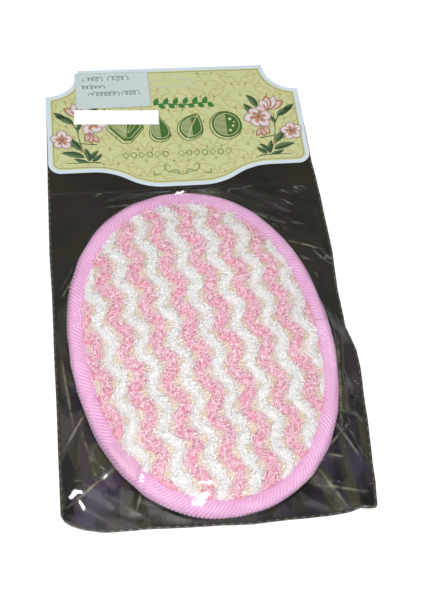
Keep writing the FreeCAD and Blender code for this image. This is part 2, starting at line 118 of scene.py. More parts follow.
# header card and bag
CARD_HIGH = box_mm("header_card")[1]
CARD_TOP = 297.0
BAG_FOOT = CARD_HIGH[1] - CARD_TOP          # bottom corners of the bag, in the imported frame
CARD_FACE = CARD_HIGH[2]                    # front of the front panel
CARD_SIDE, CARD_TOP_SIDE = 82.5, 61.5
SHOULDER_Y, SHOULDER_RADIUS = 276.0, 20.5
CARD_STRAIGHT, CARD_CORNER = 215.8, 8.0
TONGUE_LOW, TONGUE_FLAT, TONGUE_SIDE = 202.7, 12.0, 56.0
BORDER, DOT_INSET, DOT_PITCH = 2.5, 3.7, 1.15
PRINT_STEP = 0.008                          # from one layer of print to the next
ORNAMENT_LAYER = 2                          # the other ornaments lie on the scrolls
SCROLL_PITCH_X, SCROLL_PITCH_Y, SCROLL_FOOT = 22.0, 20.0, 209.0     # lattice of the scrolls
SLOT_LOW, SLOT_WIDTH, SLOT_WING = 281.0, 27.0, 6.0
SLOT_TOP, SLOT_CROWN, SLOT_GAP = 291.0, 9.0, 0.15
SLOT_CLEAR = 0.6                            # the scrolls stay this far off the hang slot
LABEL_SIZES = {"price_label": (48.0, 29.0), "strip_label": (54.0, 11.4)}
LABEL_LIFT, LABEL_THICKNESS = 0.14, 0.09    # labels lie over the print
BAG_MOUTH = 276.0
DASH_PITCH, SEAL_MIDDLE = 4.7, 0.75         # pressed dashes along the welded edges
CARD_EDGE = 200.5                           # the films go flat under the card from here
UNDER_CARD = (CARD_EDGE + 0.1, CARD_EDGE + 1.9)     # and change height between these
FILM_UNDER_CARD, REAR_UNDER_CARD = 0.75, 0.52
REAR_Z, SEAL_Z = 0.08, 0.42


# ---------------------------------------------------------------- arrays and meshes

def stacked(*values):
    """Arrays side by side along a new last axis."""
    return np.stack(np.broadcast_arrays(*values), axis=-1)


def unit(vectors):
    return vectors / np.linalg.norm(vectors, axis=-1, keepdims=True)


def circle(count):
    """Equal angles round a circle."""
    return np.linspace(0, 2 * np.pi, count, endpoint=False)


def summed(steps):
    """Running total that starts at 0."""
    return np.append(0, np.cumsum(steps))


def distances(x, y):
    """Distance along a line to each of its points."""
    return summed(np.hypot(np.diff(x), np.diff(y)))


def smooth_step(value, low, high):
    share = np.clip((value - low) / (high - low), 0, 1)
    return share * share * (3 - 2 * share)


def turned(x, y, angle):
    return x * math.cos(angle) - y * math.sin(angle), x * math.sin(angle) + y * math.cos(angle)


def sampled(grid, column, row, ease=False):
    """Values between the points of a grid, which repeats past its edges."""
    left, low = np.floor(column).astype(int), np.floor(row).astype(int)
    across, up = column - left, row - low
    if ease:
        across, up = across * across * (3 - 2 * across), up * up * (3 - 2 * up)
    left, low = left % (grid.shape[1] - 1), low % (grid.shape[0] - 1)
    bottom = grid[low, left] * (1 - across) + grid[low, left + 1] * across
    top = grid[low + 1, left] * (1 - across) + grid[low + 1, left + 1] * across
    return bottom * (1 - up) + top * up


def noise2(x, y, cell, seed):
    """Smooth noise from -1 to 1 over square cells of a side in millimetres."""
    lattice = np.random.default_rng(seed).uniform(-1, 1, (97, 97))
    return sampled(lattice, np.asarray(x) / cell, np.asarray(y) / cell, ease=True)


def grid_quads(rows, columns, wrap_rows=False, wrap_columns=False):
    """Corner numbers of the quads of a grid of points."""
    numbers = np.arange(rows * columns).reshape(rows, columns)
    if wrap_rows:
        numbers = np.vstack([numbers, numbers[:1]])
    if wrap_columns:
        numbers = np.hstack([numbers, numbers[:, :1]])
    corners = [numbers[:-1, :-1], numbers[:-1, 1:], numbers[1:, 1:], numbers[1:, :-1]]
    return np.stack(corners, axis=-1).reshape(-1, 4)


def closed_quads(quads, rim, size):
    """Quads of two equal layers of points, and of the wall between them along a closed rim."""
    after = np.roll(rim, -1)
    wall = np.stack([rim, after, after + size, rim + size], axis=-1)
    return np.vstack([quads[:, ::-1], quads + size, wall])


def slab_quads(rows, columns):
    """Quads of a grid and its underside, closed all round."""
    numbers = np.arange(rows * columns).reshape(rows, columns)
    rim = np.concatenate([numbers[0], numbers[1:, -1], numbers[-1, -2::-1], numbers[-2:0:-1, 0]])
    return closed_quads(grid_quads(rows, columns), rim, numbers.size)


def linked(name, data):
    item = bpy.data.objects.new(name, data)
    bpy.context.scene.collection.objects.link(item)
    return item


def quad_object(name, points, quads, material, uv=None):
    """Smooth mesh piece from points in millimetres and four point numbers a face."""
    mesh = bpy.data.meshes.new(name)
    mesh.vertices.add(len(points))
    mesh.vertices.foreach_set("co", (np.asarray(points) * MM).astype(np.float32).ravel())
    mesh.loops.add(quads.size)
    mesh.loops.foreach_set("vertex_index", quads.astype(np.int32).ravel())
    mesh.polygons.add(len(quads))
    mesh.polygons.foreach_set("loop_start", np.arange(0, quads.size, 4, dtype=np.int32))
    mesh.update(calc_edges=True)
    mesh.validate()
    if uv is not None:
        layer = mesh.uv_layers.new(name="Weave")
        layer.data.foreach_set("uv", np.asarray(uv, np.float32)[quads.ravel()].ravel())
    mesh.polygons.foreach_set("use_smooth", np.ones(len(mesh.polygons), bool))
    mesh.materials.append(MATERIALS[material])
    return linked(name, mesh)


def paint(piece, name, values):
    """Keep a number at each point, for the material to read."""
    layer = piece.data.attributes.new(name, "FLOAT", "POINT")
    layer.data.foreach_set("value", values.astype(np.float32).ravel())


def weld_middle(piece):
    """Join the points that meet at the middle of a round grid."""
    made = bmesh.new()
    made.from_mesh(piece.data)
    bmesh.ops.remove_doubles(made, verts=made.verts, dist=1e-7)
    made.to_mesh(piece.data)
    made.free()


def assign(piece, slot, *nodes, body="scrubber"):
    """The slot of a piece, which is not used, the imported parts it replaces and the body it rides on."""
    if nodes:
        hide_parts(*nodes)
    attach(piece, body)


def settled(across, along):
    """How far the soft pad has settled outwards: its outline isn't a true ellipse."""
    turn = np.arctan2(along / PAD_LONG, across / PAD_SHORT)
    out = (0.7 + 0.9 * np.cos(turn) + 1.3 * np.sin(turn) + 0.9 * np.cos(2 * turn)
           - 1.2 * np.cos(4 * turn))
    out = out * np.minimum(np.hypot(across / PAD_SHORT, along / PAD_LONG), 1.1) ** 2
    length = np.hypot(across, along) + 1e-9
    return across / length * out, along / length * out


def pad_to_frame(across, along, height):
    """Points from the pad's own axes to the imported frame."""
    across, along = np.asarray(across, float), np.asarray(along, float)
    shift_across, shift_along = settled(across, along)
    x, y = turned(across + shift_across, along + shift_along, PAD_LEAN)
    return stacked(x + PAD_X, y + PAD_Y, height).reshape(-1, 3)


def frame_to_pad(x, y):
    across, along = turned(x - PAD_X, y - PAD_Y, -PAD_LEAN)
    shift_across, shift_along = settled(across, along)
    return across - shift_across, along - shift_along


def bag_points(x, y, z):
    """Points from the bag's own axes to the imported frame."""
    return stacked(x, y + BAG_FOOT, z).reshape(-1, 3)


# ---------------------------------------------------------------- materials

def colour(shade):
    """Linear colour from screen values of 0 to 255. A socket or a linear colour is passed on."""
    if isinstance(shade, bpy.types.NodeSocket) or len(shade) == 4:
        return shade
    return tuple(((c / 255 + 0.055) / 1.055) ** 2.4 if c > 10 else c / 255 / 12.92
                 for c in shade) + (1.0,)


class Look:
    """A material. Its colour is a base with tints laid over it."""

    def __init__(self, name, base=None):
        self.material = bpy.data.materials.new(name)
        self.material.use_nodes = True
        self.tree = self.material.node_tree
        self.shader = self.tree.nodes["Principled BSDF"]
        self.place = self.add("TexCoord").outputs["Object"]
        self.base = base

    def feed(self, node, inputs):
        """Feed a node's inputs, by name or number, with values or from other sockets."""
        for name, value in inputs.items():
            if isinstance(value, bpy.types.NodeSocket):
                self.tree.links.new(value, node.inputs[name])
            else:
                node.inputs[name].default_value = value

    def add(self, kind, inputs=None, **settings):
        """Add a node, set its properties and feed its inputs."""
        made = self.tree.nodes.new("ShaderNode" + kind)
        for name, value in settings.items():
            setattr(made, name, value)
        self.feed(made, inputs or {})
        return made

    def math(self, operation, *values):
        return self.add("Math", dict(enumerate(values)), operation=operation).outputs[0]

    def mix(self, factor, first, second):
        inputs = {0: factor, 6: colour(first), 7: colour(second)}
        return self.add("Mix", inputs, data_type="RGBA").outputs[2]

    def ramp(self, factor, low, high, share=None):
        """Factor stretched so that low gives 0 and high gives 1, or a share of that."""
        inputs = {"Value": factor, "From Min": low, "From Max": high}
        made = self.add("MapRange", inputs).outputs["Result"]
        return made if share is None else self.math("MULTIPLY", made, share)

    def noise(self, scale, detail=3.0, roughness=0.55):
        inputs = {"Vector": self.place, "Scale": scale, "Detail": detail, "Roughness": roughness}
        return self.add("TexNoise", inputs).outputs["Fac"]

    def bump(self, height, distance, normal=None):
        inputs = {"Height": height, "Distance": distance}
        if normal is not None:
            inputs["Normal"] = normal
        return self.add("Bump", inputs).outputs["Normal"]

    def painted(self, name):
        return self.add("Attribute", attribute_name=name).outputs["Fac"]

    def weave(self):
        """The piece's own weave coordinates, in millimetres."""
        return self.add("UVMap", uv_map="Weave").outputs["UV"]

    def bands(self, direction, scale, distortion, detail_scale):
        """Uneven bands across the weave."""
        inputs = {"Vector": self.weave(), "Scale": scale, "Distortion": distortion, "Detail": 2.0,
                  "Detail Scale": detail_scale}
        return self.add("TexWave", inputs, wave_type="BANDS", bands_direction=direction).outputs["Fac"]

    def cells(self, place, scale, dimensions):
        """Distance to the middle of the nearest of scattered cells, and a random tone for it."""
        made = self.add("TexVoronoi", {"Vector": place, "Scale": scale}, voronoi_dimensions=dimensions)
        tone = self.add("SeparateColor", {"Color": made.outputs["Color"]}).outputs["Red"]
        return made.outputs["Distance"], tone

    def tint(self, shade, factor, low=None, high=None, share=None):
        """Lay a colour over the rest where the factor is high."""
        if low is not None:
            factor = self.ramp(factor, low, high, share)
        self.base = self.mix(factor, self.base, shade)

    def finish(self, roughness, normal, others=None):
        self.feed(self.shader, {"Base Color": self.base, "Roughness": roughness, "Normal": normal})
        self.feed(self.shader, others or {})
        return self.material


def yarn_look(name, deep, middle, light, fibre_bump):
    """Looped shiny yarn: colour varies from loop to loop. Small spots on its fibres are glossier and carry
    a painted highlight in the light colour.
    """
    look = Look(name, deep)
    loops, glint_flecks = look.noise(520.0, 2.0), look.noise(2200.0, 2.0, 0.7)
    look.tint(middle, loops, 0.36, 0.6)
    look.tint(light, loops, 0.56, 0.72)
    # painted highlight: these small spots are tinted with the light colour
    look.tint(light, glint_flecks, 0.55, 0.68)
    roughness = look.math("SUBTRACT", 0.5, look.ramp(glint_flecks, 0.4, 0.6, 0.28))
    return look.finish(roughness, look.bump(look.noise(3400.0, 2.0, 0.7), fibre_bump),
                       {"Specular IOR Level": 0.6, "Sheen Weight": 0.15, "Sheen Roughness": 0.4})


def ground_cloth_look():
    """Beige knit with cross ribs, painted lighter on the ribs and darker in the gaps between them as
    painted shade, with random dark specks and glittering metallic thread.
    """
    look = Look("ground_cloth_knit", (202, 182, 164))
    yarns = look.noise(1300.0)
    # painted shade: lighter bands across the weave stand for the lit ribs, and the gaps between them stay
    # darker
    look.tint((222, 205, 190), look.bands("Y", 0.18, 2.2, 1.4), 0.1, 0.75)
    look.tint((234, 222, 208), yarns, 0.42, 0.7)
    look.tint((158, 138, 100), look.noise(1700.0, 2.0, 0.6), 0.46, 0.36, 0.8)
    distance, tone = look.cells(look.place, 1300.0, "3D")
    glitter = look.math("MULTIPLY", look.math("GREATER_THAN", tone, 0.7),
                        look.math("LESS_THAN", distance, 0.4))
    look.tint((255, 250, 225), glitter)
    roughness = look.math("SUBTRACT", 0.75, look.math("MULTIPLY", glitter, 0.55))
    return look.finish(roughness, look.bump(yarns, 0.0004),
                       {"Metallic": look.math("MULTIPLY", glitter, 0.7), "Sheen Weight": 0.2})


def twill_look(name, deep, light, pitch, ridged=False):
    """Shiny twill tape with fine diagonal lines. A ridged one has painted shade between its puckers."""
    look = Look(name)
    look.base = look.mix(0.5, deep, light)
    lines, threads = look.bands("DIAGONAL", 0.22 / pitch, 1.2, 2.0), look.noise(2100.0, 2.0)
    look.tint(light, lines, 0.15, 0.85)
    look.tint((226, 186, 214), threads, 0.35, 0.8)
    if ridged:
        # painted shade: the tape is darker where Ridge is low, between the puckers
        look.tint(deep, look.painted("Ridge"), 0.6, 0.1, 0.9)
    look.tint(deep, look.noise(110.0), 0.4, 0.75, 0.45)
    return look.finish(0.5, look.bump(threads, 0.00008, look.bump(lines, 0.0002)),
                       {"Sheen Weight": 0.35, "Sheen Roughness": 0.35})


def clear_film_look():
    """Thin clear film: only its gloss shows, stronger at a glancing angle, with faint haze."""
    look = Look("clear_bag_film")
    look.tree.nodes.remove(look.shader)
    normal = look.bump(look.noise(150.0, 3.0, 0.5), 0.00022)
    gloss = look.add("BsdfGlossy", {"Color": (1.0, 1.0, 1.0, 1.0), "Roughness": 0.07, "Normal": normal})
    clear = look.add("BsdfTransparent", {"Color": (0.985, 0.985, 0.99, 1.0)})
    angle = look.add("Fresnel", {"IOR": 1.26, "Normal": normal}).outputs[0]
    share = look.math("ADD", look.math("MULTIPLY", angle, 0.9),
                      look.ramp(look.noise(70.0, 4.0, 0.6), 0.6, 0.9, 0.006))
    mixed = look.add("MixShader", {0: share, 1: clear.outputs[0], 2: gloss.outputs[0]})
    look.feed(look.tree.nodes["Material Output"], {"Surface": mixed.outputs[0]})
    return look.material


def dark_film_look():
    """Glossy dark brown film. Pale lines along its creases are a painted highlight, and towards its foot
    its facets are painted in near-black, wine and olive tones as reflections.
    """
    look = Look("dark_bag_film", (27, 25, 19))
    crinkles = look.noise(260.0, 3.0, 0.5)
    foot = look.ramp(look.add("SeparateXYZ", {"Vector": look.place}).outputs["Y"], -0.03, -0.09)
    look.tint((44, 41, 27), look.noise(26.0), 0.35, 0.7)
    look.tint((46, 34, 42), look.noise(38.0), 0.5, 0.75, 0.6)
    # painted reflection: towards the foot, cells shaped like creased facets are tinted near-black, wine and
    # olive
    for turn, across, share in ((0.95, 70.0, 0.8), (-0.6, 110.0, 0.65), (2.2, 150.0, 0.5)):
        place = look.add("Mapping", {"Vector": look.place, "Rotation": (0.0, 0.0, turn),
                                     "Scale": (across, 0.4 * across, 1.0)}).outputs["Vector"]
        _, tone = look.cells(place, 1.0, "2D")
        reflection_tone = look.mix(look.ramp(tone, 0.3, 0.34), (12, 12, 14), (62, 48, 68))
        reflection_tone = look.mix(look.ramp(tone, 0.74, 0.78), reflection_tone, (64, 60, 44))
        apart = look.ramp(look.math("ABSOLUTE", look.math("SUBTRACT", tone, 0.5)), 0.08, 0.14)
        look.tint(reflection_tone, look.math("MULTIPLY", look.math("MULTIPLY", foot, apart), share))
    # painted highlight: pale lines along the creases
    look.tint((142, 134, 112), look.math("MULTIPLY", look.painted("Crease"),
                                         look.ramp(crinkles, 0.35, 0.55)))
    return look.finish(look.ramp(crinkles, -1.2, 4.0), look.bump(crinkles, 0.00016),
                       {"Specular IOR Level": 0.2})


def seal_look():
    """Welded edge of the bag: dark film with light frosted dashes."""
    look = Look("welded_edge", (38, 34, 25))
    weave, frost = look.add("SeparateXYZ", {"Vector": look.weave()}), look.noise(1800.0)
    beat = look.math("COSINE", look.math("MULTIPLY", weave.outputs["X"], 2 * math.pi / DASH_PITCH))
    off = look.math("ABSOLUTE", look.math("SUBTRACT", weave.outputs["Y"], SEAL_MIDDLE))
    look.tint((104, 100, 88), beat, 0.25, 0.45, look.ramp(off, 0.34, 0.22))
    look.tint((48, 44, 34), look.math("MULTIPLY", frost, 0.4))
    return look.finish(0.3, look.bump(frost, 0.00005))


def paper_look(name, base, fleck, roughness):
    """Card, paper or ink on it: fine fibres, slight mottling and a smooth finish."""
    look = Look(name, base)
    fibres = look.noise(1500.0, 3.0, 0.7)
    look.tint(fleck, look.noise(60.0, 4.0), 0.35, 0.7, 0.5)
    look.tint(fleck, fibres, 0.5, 0.8, 0.25)
    return look.finish(look.math("ADD", roughness, look.math("MULTIPLY", fibres, 0.2)),
                       look.bump(fibres, 0.00002))


def pile_look(name, deep, light, scale, height):
    """Soft cloth, thread, foam or glue with fine pile."""
    look = Look(name, deep)
    pile = look.noise(scale, 4.0, 0.65)
    look.tint(light, pile, 0.35, 0.7)
    look.tint(light, look.math("MULTIPLY", look.noise(60.0, 2.0), 0.3))
    return look.finish(0.85, look.bump(pile, height), {"Sheen Weight": 0.3})


def floor_look():
    look = Look("pale_floor", (0.985, 0.985, 0.985, 1.0))
    look.tint((1.0, 1.0, 1.0, 1.0), look.noise(4.0))
    look.feed(look.shader, {"Base Color": look.base, "Roughness": 0.9})
    return look.material


ORCHID, ORCHID_DEEP = (241, 196, 226), (210, 146, 192)
MATERIALS = {
    # The loops materials are the lit copy of each yarn. The darker base materials colour the strand that
    # shows between the loops, as painted shade.
    "white_yarn": yarn_look("white_yarn_loops", (236, 236, 234), (247, 247, 246), (255, 255, 255), 0.00012),
    "white_base": yarn_look("white_yarn_shaded_base", (228, 228, 222), (240, 240, 236), (248, 248, 246), 0.0003),
    "pink_yarn": yarn_look("pink_yarn_loops", (240, 188, 203), (248, 214, 225), (255, 236, 240), 0.00012),
    "pink_base": yarn_look("pink_yarn_shaded_base", (218, 134, 154), (236, 172, 189), (248, 204, 214), 0.0003),
    "ground": ground_cloth_look(),
    "binding": twill_look("binding_twill", ORCHID_DEEP, ORCHID, 0.8, ridged=True),
    "lap": twill_look("binding_lap_twill", (226, 166, 200), (238, 190, 218), 0.3),
    "elastic": twill_look("ribbed_elastic", (206, 130, 186), (240, 182, 222), 0.8),
    "thread": pile_look("sewing_thread", ORCHID_DEEP, (246, 200, 232), 3000.0, 0.0001),
    "foam": pile_look("foam", (226, 214, 180), (246, 238, 214), 900.0, 0.0004),
    "terry": pile_look("terry_back", (226, 160, 176), (250, 214, 224), 700.0, 0.0006),
    "adhesive": pile_look("adhesive", (214, 208, 178), (232, 228, 204), 500.0, 0.00005),
    "clear_film": clear_film_look(),
    "dark_film": dark_film_look(),
    "seal": seal_look(),
    "card": paper_look("card_border", (194, 206, 214), (203, 214, 221), 0.35),
    "field": paper_look("printed_field", (187, 190, 137), (195, 197, 148), 0.3),
    "sticker": paper_look("sticker_paper", (183, 196, 194), (192, 204, 202), 0.5),
    "strip": paper_look("strip_paper", (244, 244, 244), (252, 252, 252), 0.5),
    "floor": floor_look(),
}
INKS = {
    "ghost": ((174, 167, 108), (179, 173, 117)), "dots": ((109, 91, 57), (124, 104, 68)),
    "green": ((54, 92, 24), (64, 102, 32)), "bright": ((44, 108, 36), (54, 120, 44)),
    "cream": ((190, 193, 142), (199, 200, 153)), "blush": ((200, 174, 170), (208, 188, 186)),
    "peach": ((179, 122, 96), (189, 137, 111)), "white": ((208, 198, 198), (215, 207, 208)),
    "brown": ((85, 65, 46), (100, 78, 57)), "leaf": ((81, 109, 67), (96, 122, 80)),
    "leaf_dark": ((41, 68, 37), (52, 80, 46)), "pen": ((81, 91, 109), (96, 105, 122)),
    # a faint lighter line round the hang slot, a painted highlight on its cut edge
    "emboss_highlight": ((186, 187, 142), (194, 195, 152)),
}
for name, shades in INKS.items():
    MATERIALS[name] = paper_look("ink_" + name, *shades, 0.3)


# ---------------------------------------------------------------- pad

def inside_face(across, along, inset):
    """How far inside the face's edge a point is: 0 at the edge, 1 at the pad's centre."""
    return 1 - (across / (PAD_SHORT - inset)) ** 2 - (along / (PAD_LONG - inset)) ** 2


def face_height(across, along):
    """Height of the ground cloth: a soft dome that dips where it is sewn under the binding."""
    inside = inside_face(across, along, CLOTH_INSET)
    give = (0.45 * noise2(across + 200, along + 200, 31, 5)
            + 0.18 * noise2(across + 200, along + 200, 13, 6))
    dome = RIM_Z + CLOTH_RISE * np.clip(inside, 0, 1) ** CLOTH_DOME
    return dome + give * smooth_step(inside, 0, 0.25)


def wave_turn(along):
    return 2 * np.pi * (along - WAVE_START) / WAVE_LENGTH


def wave(along, seed):
    """Sideways swing of a row, a little uneven from wave to wave."""
    turn = wave_turn(along) + 0.35 * noise2(along + 200, seed, 30, 11)
    swing = WAVE_HEIGHT * (1 + 0.25 * noise2(along + 200, seed, 16, 12))
    return swing * (np.cos(turn) + np.cos(3 * turn) / 12) + 0.45 * noise2(along + 200, seed, 11, 13)


def lobes(along, seed):
    """How full a row is: fuller on the slants between its bends, with uneven edges."""
    return 1 - 0.26 * np.cos(2 * wave_turn(along)) + 0.22 * noise2(along + 200, 7 * seed, 3.2, 14)


def disc(share, turns, inset):
    """Points of the pad's axes at shares of the way out to an inset from its outline."""
    angle = circle(turns)[None, :]
    return (share * (PAD_SHORT - inset) * np.cos(angle),
            share * (PAD_LONG - inset) * np.sin(angle))


def ground_cloth():
    """Cross-ribbed cloth of the face, a closed layer with its own thickness."""
    rings, under_rings, turns = 230, 60, 560
    share = np.append(np.linspace(0, 1, rings), np.linspace(1, 0, under_rings))[:, None]
    under = (np.arange(len(share)) >= rings)[:, None]
    across, along = disc(share, turns, FACE_INSET)
    row_across, row_along = turned(across, along, -ROW_LEAN)
    uneven = 3.5 * noise2(row_across + 300, row_along + 300, 4, 8)
    rib = 0.17 * np.sin(2 * np.pi * row_along / CLOTH_RIB + uneven) * (share < 0.99)
    points = pad_to_frame(across, along,
                          face_height(across, along) + np.where(under, -CLOTH_THICKNESS, rib))
    piece = quad_object("face_cloth", points, grid_quads(*across.shape, wrap_columns=True), "ground",
                        stacked(row_across, row_along).reshape(-1, 2))
    weld_middle(piece)
    assign(piece, "ground_cloth", "face_ground_cloth")


def tubes(line, radius, first, second, sides):
    """Points and quads of many tubes along lines. first and second span their sections."""
    turn = circle(sides)[:, None]
    section = np.cos(turn) * first[:, :, None] + np.sin(turn) * second[:, :, None]
    points = line[:, :, None] + radius[..., None, None] * section
    count, steps = line.shape[:2]
    one = grid_quads(steps, sides, wrap_columns=True)
    quads = one[None] + (np.arange(count) * steps * sides)[:, None, None]
    return points.reshape(-1, 3), quads.reshape(-1, 4)


def yarn_curls(roots, outward, radius, yarn, generator):
    """Points and quads of many small arches of yarn that stand on their roots."""
    steps = np.linspace(0, 1, 8)[None, :]

    def draw(low, high):
        return generator.uniform(low, high, (len(roots), 1))

    turn = (draw(-0.9, -0.2) + draw(3.6, 4.6) * steps)[..., None]
    size = radius * draw(0.7, 1.3)
    up = unit(outward + 0.42 * generator.normal(0, 1, roots.shape))
    side = unit(np.cross(up, generator.normal(0, 1, roots.shape)))[:, None]
    out = np.cross(side, up[:, None])
    drift = ((2 * steps - 1) * yarn * draw(0.4, 1.4))[..., None] * out
    radial = np.cos(turn) * side + np.sin(turn) * up[:, None]
    line = (roots + up * size * 0.45)[:, None] + radial * size[..., None] + drift
    taper = np.sin(0.4 + (np.pi - 0.8) * steps) ** 0.4
    return tubes(line, yarn * taper * draw(0.85, 1.15), radial, out, 4)


def row_surface(middle, width, along, side, seed):
    """Pad place and height of a row's puffed surface; side is -1 to 1 over its width."""
    full = lobes(along, seed)
    across = middle + wave(along, seed) + side * width / 2 * full
    across, along = turned(across, along, ROW_LEAN)
    puff = PUFF * full * np.clip(1 - side ** 2, 0, 1) ** 0.6
    edge = smooth_step(inside_face(across, along, FACE_INSET + 0.8), 0.0, 0.06)
    return across, along, face_height(across, along) + puff * (0.25 + 0.75 * edge)


def yarn_row(colour_name, number, rows, width, radius, yarn, spacing, seed):
    """One wavy row of looped yarn: a puffed strand with arches of yarn standing all over it."""
    generator = np.random.default_rng(seed)
    middle = ROW_SHIFT + (number - (rows - 1) / 2) * ROW_PITCH
    line = np.arange(-PAD_LONG, PAD_LONG, 0.6)
    reach = inside_face(*turned(middle + wave(line, seed), line, ROW_LEAN), FACE_INSET + 0.4)
    line = line[reach > -0.06]
    side = np.linspace(-1, 1, 15)[None, :]
    across, along, height = row_surface(middle, width, line[:, None] * np.ones_like(side), side, seed)
    limit = np.sqrt(np.clip(1 - inside_face(across, along, FACE_INSET + 0.6), 1.0, None))
    across, along = across / limit, along / limit
    lumps = 0.55 * noise2(across + 300, along + 300, 2.4, seed + 1) - 0.3
    over, under = (pad_to_frame(across, along, level).reshape(*across.shape, 3)
                   for level in (height + lumps, face_height(across, along) - 0.75))
    loop = np.concatenate([over, under[:, ::-1]], axis=1)
    strand = grid_quads(*loop.shape[:2], wrap_columns=True)

    count = int((line[-1] - line[0]) * width * 1.25 / spacing ** 2)
    along = generator.uniform(line[0], line[-1], count)
    side = np.clip(generator.uniform(-1.0, 1.0, count), -0.97, 0.97)
    across, along, height = row_surface(middle, width, along, side, seed)
    keep = inside_face(across, along, FACE_INSET + 3.4) > 0
    roots = pad_to_frame(across, along, height - 0.1)[keep]
    lean = side[keep] * 1.05
    outward = (pad_to_frame(*turned(np.sin(lean), 0 * lean, ROW_LEAN), 0.0)
               - pad_to_frame(0, 0, 0.0))
    outward[:, 2] = np.cos(lean)
    curls, curl_quads = yarn_curls(roots, outward, radius, yarn, generator)
    quads = np.vstack([strand, curl_quads + loop.shape[0] * loop.shape[1]])
    node = f"{colour_name}_row_{number + 1}"
    # painted shade: the strand takes the darker base material between the arches, and the arches take the
    # lighter yarn material
    piece = quad_object(node + "_loops", np.vstack([loop.reshape(-1, 3), curls]), quads,
                        colour_name + "_base")
    piece.data.materials.append(MATERIALS[colour_name + "_yarn"])
    is_curl = np.arange(len(quads)) >= len(strand)
    piece.data.polygons.foreach_set("material_index", is_curl.astype(np.int32))
    assign(piece, colour_name + "_yarn", node)


def rolled(angle, radial, height):
    """Points of tape rolled round the rim; radial is outwards from the binding's middle."""
    outward = unit(stacked(RIM_LONG * np.cos(angle), RIM_SHORT * np.sin(angle)))
    return pad_to_frame(RIM_SHORT * np.cos(angle) + outward[..., 0] * radial,
                        RIM_LONG * np.sin(angle) + outward[..., 1] * radial, height)


def binding():
    """Rolled twill tape, puckered into slanting ribs where it is pulled round the edge."""
    turns, sides = 1560, 46
    angle, around = circle(turns)[:, None], circle(sides)[None, :]
    steps = np.hypot(RIM_SHORT * np.sin(angle), RIM_LONG * np.cos(angle)) * 2 * np.pi / turns
    distance, whole = summed(steps[:-1])[:, None], steps.sum()
    place = 2 * np.pi * round(whole / RIB_PITCH) * distance / whole
    strength = 0.55 + 0.45 * noise2(distance, 0, 26, 21)
    left_side = 0.5 - 0.5 * np.cos(angle)
    pucker = np.sin(place + RIB_SLANT * np.cos(around) + 0.8 * noise2(distance, around * 2, 6, 22))
    rib = 0.32 * strength * (0.6 + 0.6 * left_side) * (pucker - 0.35 * np.abs(pucker))
    dents = 0.35 * noise2(distance + 40, 3 * np.cos(around), 9, 23)
    lumps = 0.3 * noise2(distance + 90, 2 * np.sin(around), 30, 24)
    inner = 0.5 - 0.5 * np.cos(around)
    wide = RIM_RADIUS + (1.7 + 1.0 * left_side) * inner + rib + dents + lumps
    tall = 0.9 * RIM_RADIUS + rib + dents * 0.8 + lumps
    press = 1 - 0.16 * np.clip(-np.sin(around), 0, 1)
    points = rolled(angle, wide * np.cos(around) - 0.3 * left_side,
                    RIM_Z + tall * np.sin(around) * press)
    quads = grid_quads(turns, sides, wrap_rows=True, wrap_columns=True)[:, ::-1]
    piece = quad_object("binding", points, quads, "binding",
                        stacked(distance, -RIM_RADIUS * around).reshape(-1, 2))
    # Ridge is high on the puckers and low between them. The binding's material paints shade where it is
    # low.
    paint(piece, "Ridge", 0.5 + 0.5 * pucker * strength)
    assign(piece, "binding", "binding_tape")


def binding_lap():
    """Free end of the tape: a smooth shiny tongue, tucked down beside the face."""
    low, high = box_mm("binding_end_lap")
    middle = frame_to_pad((low[0] + high[0]) / 2, (low[1] + high[1]) / 2)
    rows, columns = 60, 26
    share = np.linspace(-1, 1, rows)[:, None]
    sweep = math.atan2(middle[1] / PAD_LONG, middle[0] / PAD_SHORT) + LAP_SWEEP * share
    around = np.linspace(0.35 * np.pi, 0.86 * np.pi, columns)[None, :]
    radius = RIM_RADIUS + LAP_RISE + 0.25 * np.cos(around * 5) - 0.9 * np.abs(share) ** 3
    radius = radius + 0.12 * np.sin(share * 9 + around * 3)
    points = [rolled(sweep, level * np.cos(around), RIM_Z + level * np.sin(around))
              for level in (radius, radius - LAP_THICKNESS)]
    quads = grid_quads(rows, columns)
    quads = np.vstack([quads[:, ::-1], quads + rows * columns])
    uv = stacked(share * 9, around * 5).reshape(-1, 2)
    piece = quad_object("binding_lap", np.vstack(points), quads, "lap", np.vstack([uv, uv]))
    assign(piece, "binding", "binding_end_lap")


def pad_layer(name, across, along, low, high, material):
    """Closed round layer of the pad between two heights."""
    rings, turns = across.shape
    points = np.vstack([pad_to_frame(across, along, height) for height in (low, high)])
    rim = np.arange((rings - 1) * turns, rings * turns)
    quads = closed_quads(grid_quads(rings, turns, wrap_columns=True), rim, rings * turns)
    piece = quad_object(name, points, quads, material)
    weld_middle(piece)
    return piece


def foam_core():
    """Soft foam between the face and the back, pinched thin where the binding holds it."""
    share = np.linspace(0, 1, 60)[:, None]
    across, along = disc(share, 240, FOAM_INSET)
    pores = 0.12 * noise2(across + 200, along + 200, 2.2, 41)
    high = face_height(across, along) - CLOTH_THICKNESS - 0.25 + pores
    low = BACK_Z + BACK_THICKNESS + 0.15 + 2.2 * smooth_step(share, 0.86, 1.0) + pores * 0.5
    piece = pad_layer("foam_pad", across, along, low, np.maximum(high, low + 0.4), "foam")
    assign(piece, "foam", "foam_core")


